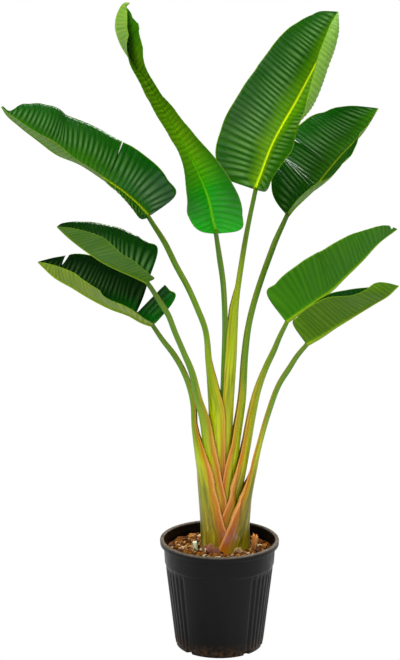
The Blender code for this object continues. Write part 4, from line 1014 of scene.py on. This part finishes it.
def build_torn_sheath(node, finish, turns, rise, lean, ragged):
    """A torn sheath against the clump: a curved skin with a ragged, outward-curling top."""
    first, last = np.radians(turns)
    turn = np.linspace(first, last, 61)
    share = np.linspace(0, 1, 26)
    middle = (first + last) / 2
    from_middle = np.abs(turn - middle) / (last - middle)
    torn = noise_1d(turn * 21, 31) + 0.5 * noise_1d(turn * 60, 32)
    tall = rise * (1 - 0.55 * from_middle ** 1.6) + ragged * torn
    heights = MIX_TOP - ROOTED + share[:, None] * (tall[None, :] + ROOTED)
    level = np.linspace(MIX_TOP - ROOTED, MIX_TOP + rise + 0.01, 40)
    centre, radii = clump_at(level)
    row = np.clip((heights - level[0]) / (level[1] - level[0]), 0, 38.99)
    low = row.astype(int)
    above = row - low
    near = read_round(radii, turn[None, :], low)
    far = read_round(radii, turn[None, :], low + 1)
    radius = near * (1 - above) + far * above + 0.0022
    radius = radius + lean * share[:, None] ** 2.2
    radius = radius + 0.0006 * noise_2d(turn[None, :] * 14, share[:, None] * 5, 9)
    axis = np.interp(heights, level, centre)
    faces_at = []
    for reach in (radius, radius + 0.0011):
        faces_at.append(np.stack([axis + reach * np.cos(turn), reach * np.sin(turn), heights], -1))
    thing = turned_out(skin_mesh(node + "_skin", *faces_at))
    add_values(thing, climb=np.tile(np.repeat(share, len(turn)), 2))
    settle(thing, finish, node)


# ------------------------------------------------------------------ the finishes
def shade(red, green, blue, alpha=1.0):
    """A colour given as display values from 0 to 1, turned into light."""
    light = [c / 12.92 if c <= 0.04045 else ((c + 0.055) / 1.055) ** 2.4 for c in (red, green, blue)]
    return (*light, alpha)


def feed(tree, node, key, value):
    """Link a socket to a node's input, or set the input to a plain value."""
    if isinstance(value, bpy.types.NodeSocket):
        tree.links.new(value, node.inputs[key])
    else:
        node.inputs[key].default_value = value


def put(tree, kind, inputs=None, **settings):
    """Add a node, set its options, and feed or set its inputs."""
    node = tree.nodes.new("ShaderNode" + kind)
    for name, value in settings.items():
        setattr(node, name, value)
    for key, value in (inputs or {}).items():
        feed(tree, node, key, value)
    return node


def sums(tree, operation, *values):
    """A Math node's result."""
    return put(tree, "Math", dict(enumerate(values)), operation=operation).outputs[0]


def times(tree, first, *others):
    """The product of any number of values."""
    for other in others:
        first = sums(tree, "MULTIPLY", first, other)
    return first


def blend(tree, share, first, second):
    """A colour mix: socket or colour first to second, by share."""
    node = put(tree, "Mix", {0: share}, data_type="RGBA")
    feed(tree, node, 6, first)
    feed(tree, node, 7, second)
    return node.outputs[2]


def ease(tree, value, low, high, to_low=0.0, to_high=1.0):
    """A value mapped from one span to another, held at the ends."""
    return put(tree, "MapRange", {0: value, 1: low, 2: high, 3: to_low, 4: to_high}, clamp=True).outputs[0]


def measure(tree, name):
    """A number stored on the piece's own points."""
    return put(tree, "Attribute", attribute_name=name).outputs["Fac"]


def ramp(tree, value, *stops):
    """A colour ramp through (place, colour) stops."""
    node = put(tree, "ValToRGB", {0: value})
    steps = node.color_ramp.elements
    while len(steps) < len(stops):
        steps.new(0.5)
    for step, (place, colour) in zip(steps, stops):
        step.position = place
        step.color = colour
    return node.outputs[0]


def new_group(name, inputs, outputs):
    """An empty shader group with named sockets."""
    group = bpy.data.node_groups.new(name, "ShaderNodeTree")
    for label, kind, value in inputs:
        socket = group.interface.new_socket(label, in_out="INPUT", socket_type="NodeSocket" + kind)
        if value is not None:
            socket.default_value = value
    for label, kind in outputs:
        group.interface.new_socket(label, in_out="OUTPUT", socket_type="NodeSocket" + kind)
    given = group.nodes.new("NodeGroupInput").outputs
    result = group.nodes.new("NodeGroupOutput").inputs
    return group, given, result


def stretched(group, stretch):
    """Places in the piece's own space, stretched."""
    place = put(group, "TexCoord").outputs["Object"]
    return put(group, "VectorMath", {0: place, 1: stretch}, operation="MULTIPLY").outputs[0]


def blotch_group():
    """Soft patches of growth: noise of one size in the piece's own space, given contrast."""
    group, given, result = new_group(
        "blotches",
        [("Size", "Float", 0.02), ("Contrast", "Float", 0.25), ("Stretch", "Vector", (1, 1, 1))],
        [("Mask", "Float")])
    where = stretched(group, given["Stretch"])
    noise = put(group, "TexNoise", {"Vector": where, "Scale": sums(group, "DIVIDE", 1.0, given["Size"]),
                                    "Detail": 4.0}).outputs[0]
    low = sums(group, "SUBTRACT", 0.5, given["Contrast"])
    high = sums(group, "ADD", 0.5, given["Contrast"])
    group.links.new(ease(group, noise, low, high), result["Mask"])
    return group


def vein_group():
    """Side veins: lines across the leaf at an uneven pitch along it, thinned to threads."""
    group, given, result = new_group(
        "side_veins", [("Run", "Float", 0.0), ("Across", "Float", 0.0), ("Pitch", "Float", 0.0018),
                       ("Waver", "Float", 0.3)],
        [("Line", "Float"), ("Tint", "Float")])
    drift = put(group, "TexNoise", {"W": sums(group, "DIVIDE", given["Run"], 0.02), "Scale": 1.0},
                noise_dimensions="1D").outputs[0]
    turn = sums(group, "ADD", sums(group, "DIVIDE", given["Run"], given["Pitch"]),
                times(group, drift, given["Waver"], 12.0))
    wave = sums(group, "SINE", times(group, turn, 2 * math.pi))
    line = sums(group, "POWER", sums(group, "MULTIPLY_ADD", wave, 0.5, 0.5), 2.5)
    bands = put(group, "TexNoise", {
        "Vector": put(group, "CombineXYZ", {0: sums(group, "DIVIDE", given["Run"], 0.006),
                                            1: times(group, given["Across"], 0.8)}).outputs[0],
        "Scale": 1.0, "Detail": 3.0}, noise_dimensions="2D").outputs[0]
    group.links.new(line, result["Line"])
    group.links.new(ease(group, bands, 0.32, 0.68), result["Tint"])
    return group


def grain_group():
    """Fine tooth: two sizes of noise for a bump, and a sparse mask of specks."""
    group, given, result = new_group(
        "fine_grain", [("Size", "Float", 0.001), ("Stretch", "Vector", (1, 1, 1))],
        [("Height", "Float"), ("Specks", "Float")])
    where = stretched(group, given["Stretch"])
    rate = sums(group, "DIVIDE", 1.0, given["Size"])
    small = put(group, "TexNoise", {"Vector": where, "Scale": rate, "Detail": 3.0}).outputs[0]
    broad = put(group, "TexNoise", {"Vector": where, "Scale": times(group, rate, 0.22),
                                    "Detail": 2.0}).outputs[0]
    group.links.new(sums(group, "MULTIPLY_ADD", broad, 1.4, small), result["Height"])
    group.links.new(ease(group, small, 0.62, 0.74), result["Specks"])
    return group


def finish_with(name, roughness=0.5, **uniform):
    """A material with its Principled shader, and the tree to build in."""
    material = bpy.data.materials.new(name)
    material.use_nodes = True
    tree = material.node_tree
    shader = tree.nodes["Principled BSDF"]
    shader.inputs["Roughness"].default_value = roughness
    for label, value in uniform.items():
        shader.inputs[label.replace("_", " ")].default_value = value
    return material, tree, shader


def patches(tree, groups, size, stretch=(1, 1, 1), contrast=0.25):
    """A mask of soft patches of one size."""
    inputs = {"Size": size, "Contrast": contrast, "Stretch": stretch}
    return put(tree, "Group", inputs, node_tree=groups["blotches"]).outputs["Mask"]


def grains(tree, groups, size, stretch=(1, 1, 1)):
    """The height and the specks of a fine tooth."""
    node = put(tree, "Group", {"Size": size, "Stretch": stretch}, node_tree=groups["grain"])
    return node.outputs["Height"], node.outputs["Specks"]


def side_veins(tree, groups, run, across, pitch, waver=0.3):
    """The lines and the broader tint of the side veins."""
    inputs = {"Run": run, "Across": across, "Pitch": pitch, "Waver": waver}
    node = put(tree, "Group", inputs, node_tree=groups["veins"])
    return node.outputs["Line"], node.outputs["Tint"]


def dress(tree, shader, colour, rough, height, distance, strength):
    """Feed the shader its colour, its roughness and a height as a bump."""
    bump = put(tree, "Bump", {"Height": height, "Distance": distance, "Strength": strength})
    tree.links.new(colour, shader.inputs["Base Color"])
    tree.links.new(rough, shader.inputs["Roughness"])
    tree.links.new(bump.outputs[0], shader.inputs["Normal"])


# How each kind of blade looks: display colours, the furrows' colour a painted shade, then its roughness,
# how far the fresh colour reaches from the midrib and where along the leaf it ends (on the young blade the
# deep green top beyond is painted shade), its waxy coat, how fresh its lobes are and how strong the
# painted sheen on its crests.
LOOKS = {
    "glossy": dict(
        deep=(0.01, 0.30, 0.01), fresh=(0.14, 0.48, 0.01), sappy=(0.26, 0.54, 0.01),
        under=(0.34, 0.56, 0.02), bloom=(0.46, 0.61, 0.06), furrow_shade=(0.0, 0.16, 0.0),
        rib=(0.66, 0.76, 0.05), rough=0.24, reach=0.26, coat=0.5, painted_sheen=0.3,
    ),
    "rolled": dict(
        deep=(0.01, 0.33, 0.01), fresh=(0.50, 0.72, 0.01), sappy=(0.42, 0.67, 0.01),
        under=(0.44, 0.64, 0.18), bloom=(0.58, 0.74, 0.36), furrow_shade=(0.01, 0.20, 0.0),
        rib=(0.84, 0.94, 0.04), rough=0.24, reach=0.2, coat=0.45, end=1.1, painted_sheen=0.42,
    ),
    "shaded": dict(
        deep=(0.01, 0.20, 0.01), fresh=(0.03, 0.42, 0.01), sappy=(0.08, 0.38, 0.01),
        under=(0.28, 0.50, 0.01), bloom=(0.38, 0.54, 0.04), furrow_shade=(0.0, 0.12, 0.0), rough=0.28,
        reach=0.24, coat=0.4, painted_sheen=0.26,
    ),
    "aged": dict(
        deep=(0.01, 0.13, 0.01), fresh=(0.02, 0.46, 0.01), sappy=(0.03, 0.24, 0.01),
        under=(0.50, 0.62, 0.01), bloom=(0.60, 0.69, 0.06), furrow_shade=(0.0, 0.08, 0.0), rough=0.28,
        reach=0.34, coat=0.3, lobe=0.9, painted_sheen=0.1,
    ),
    # The young blade's deep green over its top, where the fresh colour ends short of the tip, is painted
    # shade of the inside of its fold.
    "young": dict(
        deep=(0.10, 0.38, 0.01), fresh=(0.05, 0.66, 0.01), sappy=(0.62, 0.84, 0.08),
        under=(0.52, 0.66, 0.14), bloom=(0.66, 0.78, 0.38), furrow_shade=(0.14, 0.50, 0.0),
        rib=(0.40, 0.76, 0.04), rough=0.34, reach=0.95, coat=0.2, end=0.8, lobe=1.0, painted_sheen=0.05,
    ),
    "matt": dict(
        deep=(0.01, 0.24, 0.01), fresh=(0.12, 0.38, 0.01), sappy=(0.12, 0.38, 0.01),
        under=(0.20, 0.49, 0.01), bloom=(0.30, 0.53, 0.01), furrow_shade=(0.0, 0.15, 0.0), rough=0.4,
        reach=0.3, coat=0.1, painted_sheen=0.0,
    ),
    "olive": dict(
        deep=(0.01, 0.24, 0.01), fresh=(0.16, 0.44, 0.01), sappy=(0.16, 0.44, 0.01),
        under=(0.30, 0.50, 0.01), bloom=(0.42, 0.55, 0.02), furrow_shade=(0.0, 0.15, 0.0), rough=0.4,
        reach=0.3, coat=0.1, painted_sheen=0.0,
    ),
}
USUAL_LOOK = dict(rib=(0.50, 0.66, 0.05), end=1.2, lobe=0.0)
# Pale colour painted on the crests of the upper faces as a sheen: a painted highlight.
PAINTED_SHEEN_COLOUR = shade(0.56, 0.76, 0.42)
KEEL_COLOUR = shade(0.56, 0.68, 0.06)
EDGE_COLOUR = shade(0.46, 0.60, 0.08)


def look_of(leaf):
    """A blade's look, with what it doesn't state filled in and its colours as light."""
    look = {**USUAL_LOOK, **LOOKS[leaf["look"]]}
    return {key: shade(*value) if isinstance(value, tuple) else value for key, value in look.items()}


def leaf_upper(name, look, groups):
    """Waxy upper face: fresh green at the midrib, deep green outside it, banded and veined.

    The furrows of the pleats are painted a darker shade and the crests are glossier,
    with a pale painted sheen on the crests along the middle of each half.
    """
    material, tree, shader = finish_with("blade_top_" + name, look["rough"], Coat_Weight=look["coat"],
                                         Coat_Roughness=0.14, Specular_IOR_Level=0.26)
    run, across, rib, share, pleat = (
        measure(tree, key) for key in ("run", "across", "rib", "share", "pleat"))
    out = sums(tree, "ABSOLUTE", across)
    line, tint = side_veins(tree, groups, run, across, 0.0019, 0.25)
    light = blend(tree, ease(tree, share, 0.18, 0.40), look["fresh"], look["sappy"])
    drift = sums(tree, "MULTIPLY_ADD", patches(tree, groups, 0.07), 0.16, out)
    near = ease(tree, drift, look["reach"] + 0.20, 0.08)
    # Along the leaf the fresh colour gives way to the deep green past its end; on the young blade this
    # darker top is painted shade.
    near = times(tree, near, ease(tree, share, look["end"], look["end"] - 0.12))
    near = sums(tree, "MAXIMUM", near, ease(tree, share, 0.16, 0.05, 0.0, look["lobe"]))
    body = blend(tree, near, look["deep"], light)
    band = times(tree, tint, sums(tree, "MULTIPLY_ADD", near, 0.30, 0.15))
    body = blend(tree, band, body, blend(tree, 0.5, light, look["deep"]))
    # Painted shade: the furrows of the pleats are darkened.
    furrow_shade = ease(tree, pleat, 0.55, 0.05, 0.0, 0.62)
    body = blend(tree, furrow_shade, body, blend(tree, 0.30, look["furrow_shade"], body))
    body = blend(tree, times(tree, line, 0.14), body, light)
    # Painted sheen: a pale highlight painted on the crests of the pleats along the middle of each half.
    painted_sheen_mask = times(tree, ease(tree, out, 0.20, 0.40), ease(tree, drift, 0.86, 0.50),
                  ease(tree, pleat, 0.45, 0.90, 0.0, look["painted_sheen"]))
    body = blend(tree, painted_sheen_mask, body, PAINTED_SHEEN_COLOUR)
    body = blend(tree, rib, body, look["rib"])
    body = blend(tree, ease(tree, out, 0.980, 0.995), body, EDGE_COLOUR)
    rough = ease(tree, pleat, 0.15, 0.85, look["rough"] + 0.20, look["rough"] - 0.04)
    dress(tree, shader, body, rough, line, 0.00022, 0.7)
    tree.links.new(ease(tree, pleat, 0.2, 0.8, 0.0, look["coat"]), shader.inputs["Coat Weight"])
    return material


def leaf_lower(name, look, groups):
    """Duller lower face: olive under a pale bloom, darker towards the margin, a bright keel."""
    material, tree, shader = finish_with("blade_back_" + name, 0.55, Specular_IOR_Level=0.16)
    run, across, rib = (measure(tree, key) for key in ("run", "across", "rib"))
    out = sums(tree, "ABSOLUTE", across)
    line, tint = side_veins(tree, groups, run, across, 0.0021)
    patch = patches(tree, groups, 0.05)
    body = blend(tree, sums(tree, "MULTIPLY_ADD", patch, 0.45, 0.25), look["under"], look["bloom"])
    body = blend(tree, times(tree, tint, 0.35), body, look["fresh"])
    body = blend(tree, times(tree, line, 0.22), body, look["deep"])
    # Painted shade: the furrows of the lower face, under the crests of the upper face, are darkened to
    # deep green.
    body = blend(tree, ease(tree, measure(tree, "pleat"), 0.5, 1.0, 0.0, 0.28), body, look["deep"])
    body = blend(tree, times(tree, rib, 0.8), body, KEEL_COLOUR)
    body = blend(tree, ease(tree, out, 0.975, 0.995), body, EDGE_COLOUR)
    dress(tree, shader, body, ease(tree, patch, 0, 1, 0.45, 0.62), line, 0.0003, 0.8)
    return material


# For each stalk, how far up it the rust and the yellow-green reach, in metres.
STALK_TINTS = {
    "1": (0.07, 0.22), "2": (0.08, 0.26), "3": (0.07, 0.40), "4": (0.0, 0.04),
    "5": (0.08, 0.62), "6": (0.07, 0.30), "7": (0.10, 0.34), "8": (0.10, 0.26),
}


def stalk_finish(name, groups):
    """A stalk: olive at the crown, rust and plum over it, then yellow-green to green.

    Low down the sheath's margin is broad and orange-brown with a pale rim, and
    thin streaks run along the whole length.
    """
    material, tree, shader = finish_with("stalk_skin_" + name, 0.36, Coat_Weight=0.10, Coat_Roughness=0.3,
                                         Specular_IOR_Level=0.35)
    run, edge, inner, side = (measure(tree, key) for key in ("run", "edge", "inner", "side"))
    where = put(tree, "CombineXYZ", {
        0: times(tree, side, 9.0), 1: times(tree, run, 9.0), 2: float(int(name))}).outputs[0]
    streaks = put(tree, "TexNoise", {"Vector": where, "Scale": 1.0, "Detail": 4.0}).outputs[0]
    patch = patches(tree, groups, 0.035, (1, 1, 0.45))
    rust, green = STALK_TINTS[name]
    shifted = sums(tree, "ADD", run, sums(tree, "MULTIPLY_ADD", streaks, 0.16, -0.08))
    shifted = sums(tree, "ADD", shifted, sums(tree, "MULTIPLY_ADD", patch, 0.08, -0.04))
    lime = max(green * 0.5 + 0.12, rust + 0.16)
    body = ramp(
        tree, shifted,
        (0.0, shade(0.56, 0.52, 0.03)), (0.045, shade(0.50, 0.42, 0.06)),
        (rust + 0.05, shade(0.55, 0.50, 0.03)), (lime, shade(0.70, 0.75, 0.01)),
        (max(green + 0.12, lime + 0.05), shade(0.38, 0.57, 0.01)), (0.85, shade(0.20, 0.44, 0.01)),
    )
    body = blend(tree, ease(tree, streaks, 0.52, 0.36, 0.0, 0.60), body, shade(0.26, 0.38, 0.01))
    pale = times(tree, ease(tree, streaks, 0.56, 0.75, 0.0, 0.5), ease(tree, run, 0.18, 0.5, 1.0, 0.4))
    body = blend(tree, pale, body, shade(0.84, 0.80, 0.20))
    low = ease(tree, run, 0.22, 0.46, 1.0, 0.12)
    uneven = sums(tree, "MULTIPLY_ADD", patch, 0.5, 0.45)
    broad = times(tree, ease(tree, edge, 0.58, 0.86), uneven, low)
    body = blend(tree, broad, body, shade(0.72, 0.33, 0.03))
    band = times(tree, ease(tree, run, 0.02, 0.06), ease(tree, run, 0.17, 0.09))
    plum = times(tree, band, ease(tree, patch, 0.5, 1.0, 0.0, 0.7), ease(tree, edge, 0.15, 0.45))
    body = blend(tree, plum, body, shade(0.46, 0.26, 0.24))
    # Painted highlight: pale sheen spots on the plum band low on the sheaths.
    painted_sheath_highlight = times(tree, band, ease(tree, patch, 0.72, 0.98, 0.0, 0.75),
                  ease(tree, streaks, 0.40, 0.62, 0.3, 1.0))
    body = blend(tree, painted_sheath_highlight, body, shade(0.78, 0.68, 0.74))
    rim = times(tree, ease(tree, edge, 0.90, 0.98), low, 0.8)
    body = blend(tree, rim, body, shade(0.86, 0.60, 0.34))
    body = blend(tree, times(tree, inner, 0.25), body, shade(0.66, 0.72, 0.26))
    ribs = sums(tree, "MULTIPLY_ADD", streaks, 1.5, sums(tree, "SINE", times(tree, side, 60.0)))
    dress(tree, shader, body, ease(tree, streaks, 0.3, 0.7, 0.30, 0.46), ribs, 0.00025, 0.6)
    return material


def pot_finish(groups):
    """Black moulded plastic: satin, dusty on the lip, earthy at the foot, faintly scuffed."""
    material, tree, shader = finish_with("pot_plastic", 0.36, Specular_IOR_Level=0.22)
    height, _ = grains(tree, groups, 0.0012)
    scuff = patches(tree, groups, 0.012, (1, 1, 0.25), 0.12)
    dust = patches(tree, groups, 0.008)
    z = put(tree, "SeparateXYZ", {0: put(tree, "TexCoord").outputs["Object"]}).outputs[2]
    lip = ease(tree, z, POT_HEIGHT - 0.004, POT_HEIGHT - 0.0005)
    dusty = times(tree, lip, sums(tree, "MULTIPLY_ADD", dust, 0.5, 0.25))
    earth = times(tree, ease(tree, z, 0.034, 0.004), ease(tree, dust, 0.3, 1.0, 0.0, 0.55))
    body = blend(tree, scuff, shade(0.012, 0.012, 0.011), shade(0.028, 0.028, 0.026))
    body = blend(tree, dusty, body, shade(0.55, 0.50, 0.44))
    body = blend(tree, earth, body, shade(0.42, 0.28, 0.12))
    rough = sums(tree, "ADD", ease(tree, scuff, 0, 1, 0.30, 0.44), times(tree, dusty, 0.4))
    dress(tree, shader, body, rough, height, 0.0001, 0.5)
    return material


def mix_finish(groups):
    """Damp potting mix: dark crumbs with orange-brown fibre between."""
    material, tree, shader = finish_with("mix_crumb", 0.9, Specular_IOR_Level=0.3)
    height, specks = grains(tree, groups, 0.0022)
    patch = patches(tree, groups, 0.006)
    body = blend(tree, patch, shade(0.24, 0.11, 0.04), shade(0.50, 0.27, 0.09))
    body = blend(tree, specks, body, shade(0.74, 0.48, 0.22))
    dress(tree, shader, body, ease(tree, patch, 0, 1, 0.8, 0.95), height, 0.0015, 0.9)
    return material


def bark_finish(groups):
    """Bark: every chip its own brown, striped with its grain, a few weathered pale."""
    material, tree, shader = finish_with("bark_chips", 0.85, Specular_IOR_Level=0.3)
    height, specks = grains(tree, groups, 0.0016, (1, 1, 3))
    body = ramp(
        tree, measure(tree, "tone"),
        (0.0, shade(0.14, 0.06, 0.01)), (0.25, shade(0.34, 0.17, 0.05)), (0.50, shade(0.56, 0.34, 0.08)),
        (0.75, shade(0.66, 0.44, 0.18)), (0.90, shade(0.76, 0.60, 0.36)), (0.97, shade(0.88, 0.82, 0.66)),
    )
    body = blend(tree, ease(tree, height, 0.9, 1.5, 0.0, 0.5), body, shade(0.24, 0.11, 0.04))
    dress(tree, shader, body, ease(tree, specks, 0, 1, 0.78, 0.95), height, 0.0006, 0.8)
    return material


def scrap_finish(name, colours, groups):
    """Dead tissue: one colour at the foot, another at the torn edge, and a third in its fibres."""
    material, tree, shader = finish_with(name, 0.75, Specular_IOR_Level=0.35)
    low, high, streak = (shade(*colour) for colour in colours)
    height, _ = grains(tree, groups, 0.0012, (1, 1, 0.12))
    patch = patches(tree, groups, 0.008)
    body = blend(tree, ease(tree, measure(tree, "climb"), 0.35, 1.0), low, high)
    body = blend(tree, ease(tree, height, 1.0, 1.5, 0.0, 0.6), body, streak)
    body = blend(tree, times(tree, patch, 0.3), body, low)
    dress(tree, shader, body, ease(tree, patch, 0, 1, 0.6, 0.85), height, 0.0005, 0.8)
    return material


# ------------------------------------------------------- floor, light and camera
def build_stage():
    """A plain floor that the viewer sees as bare white and that throws back a soft light."""
    bpy.ops.mesh.primitive_plane_add(size=120.0, location=(0, 0, -0.0005))
    floor = bpy.context.object
    floor.name = "studio_floor"
    material, tree, shader = finish_with("pale_floor", 0.9, Specular_IOR_Level=0.0)
    shader.inputs["Base Color"].default_value = (0.55, 0.55, 0.55, 1)
    seen = put(tree, "LightPath").outputs["Is Camera Ray"]
    glow = put(tree, "Emission", {"Color": (1, 1, 1, 1), "Strength": 1.0})
    both = put(tree, "MixShader", {0: seen, 1: shader.outputs[0], 2: glow.outputs[0]})
    tree.links.new(both.outputs[0], tree.nodes["Material Output"].inputs["Surface"])
    floor.data.materials.append(material)


def sun(name, strength, spread, azimuth, elevation, mirrored):
    """A soft far light from an azimuth (0 is the viewer's side, 90 the right) and elevation.

    Only a mirrored light shows as a sheen on the waxy leaves and the plastic.
    """
    light = bpy.data.lights.new(name, "SUN")
    light.energy = strength
    light.angle = math.radians(spread)
    lamp = bpy.data.objects.new(name, light)
    lamp.rotation_euler = (math.radians(90 - elevation), 0, math.radians(azimuth))
    lamp.visible_glossy = mirrored
    bpy.context.scene.collection.objects.link(lamp)


def build_light():
    """Studio light: soft key and fills for the colour, and two lights that give the sheen."""
    sun("key_light", 2.7, 30, -28, 46, False)
    sun("fill_light", 0.8, 40, 62, 30, False)
    sun("back_light", 1.2, 30, 170, 60, False)
    sun("front_sheen", 1.5, 14, 24, -8, True)
    sun("rim_sheen", 1.4, 20, 140, 40, True)
    world = bpy.data.worlds.new("studio")
    bpy.context.scene.world = world
    world.use_nodes = True
    tree = world.node_tree
    backdrop = tree.nodes["Background"]
    path = put(tree, "LightPath")
    dim = blend(tree, path.outputs["Is Glossy Ray"], (0.26, 0.27, 0.28, 1), (0.03, 0.03, 0.03, 1))
    tree.links.new(blend(tree, path.outputs["Is Camera Ray"], dim, (1, 1, 1, 1)), backdrop.inputs["Color"])


CAMERA_PLACE = (-0.0426, -3.80, 1.55)
CAMERA_TILT = 77.5
CAMERA_LENS = 99.65


def build_camera():
    """The viewer's camera, looking slightly down at the plant."""
    lens = bpy.data.cameras.new("camera")
    lens.lens = CAMERA_LENS
    lens.sensor_width = 36
    camera = bpy.data.objects.new("camera", lens)
    camera.location = CAMERA_PLACE
    camera.rotation_euler = (math.radians(CAMERA_TILT), 0, 0)
    bpy.context.scene.collection.objects.link(camera)
    bpy.context.scene.camera = camera
    bpy.context.scene.view_settings.view_transform = "Standard"


# Display colours of each dead piece: at its foot, at its torn edge and in its fibres.
SCRAPS = {
    "cut_green": ((0.62, 0.70, 0.42), (0.90, 0.92, 0.80), (0.96, 0.96, 0.90)),
    "dried_stub": ((0.42, 0.20, 0.08), (0.80, 0.50, 0.20), (0.90, 0.70, 0.42)),
    "old_sheath": ((0.45, 0.26, 0.24), (0.74, 0.52, 0.34), (0.66, 0.42, 0.40)),
    "papery_scrap": ((0.56, 0.36, 0.20), (0.88, 0.74, 0.52), (0.94, 0.86, 0.68)),
}
PACKED_CHIPS = 8


def main():
    """Build every piece round the frame, then the stage."""
    groups = {"blotches": blotch_group(), "veins": vein_group(), "grain": grain_group()}
    build_camera()
    for name, leaf in LEAVES.items():
        look = look_of(leaf)
        build_leaf(name, leaf, leaf_upper(name, look, groups), leaf_lower(name, look, groups))
    for stalk in STALKS:
        build_stalk(stalk, stalk_finish(stalk["name"], groups))
    build_pot(pot_finish(groups))
    build_mix(mix_finish(groups))
    bark = bark_finish(groups)
    build_bark(bark)
    for index in range(1, PACKED_CHIPS + 1):
        build_chip(index, bark)
    scraps = {name: scrap_finish(name, colours, groups) for name, colours in SCRAPS.items()}
    build_stub("green_stalk_stub", scraps["cut_green"],
               radius=0.0050, lean=-0.003, ragged=0.0012, cup=0.001)
    build_stub("dried_stalk_stub", scraps["dried_stub"],
               radius=0.0062, lean=0.004, ragged=0.006, cup=0.004)
    build_torn_sheath("outer_sheath_remnant", scraps["old_sheath"],
                      turns=(206, 266), rise=0.026, lean=0.004, ragged=0.0028)
    build_torn_sheath("dry_sheath_scrap", scraps["papery_scrap"],
                      turns=(292, 314), rise=0.022, lean=0.007, ragged=0.0030)
    build_stage()
    build_light()


main()
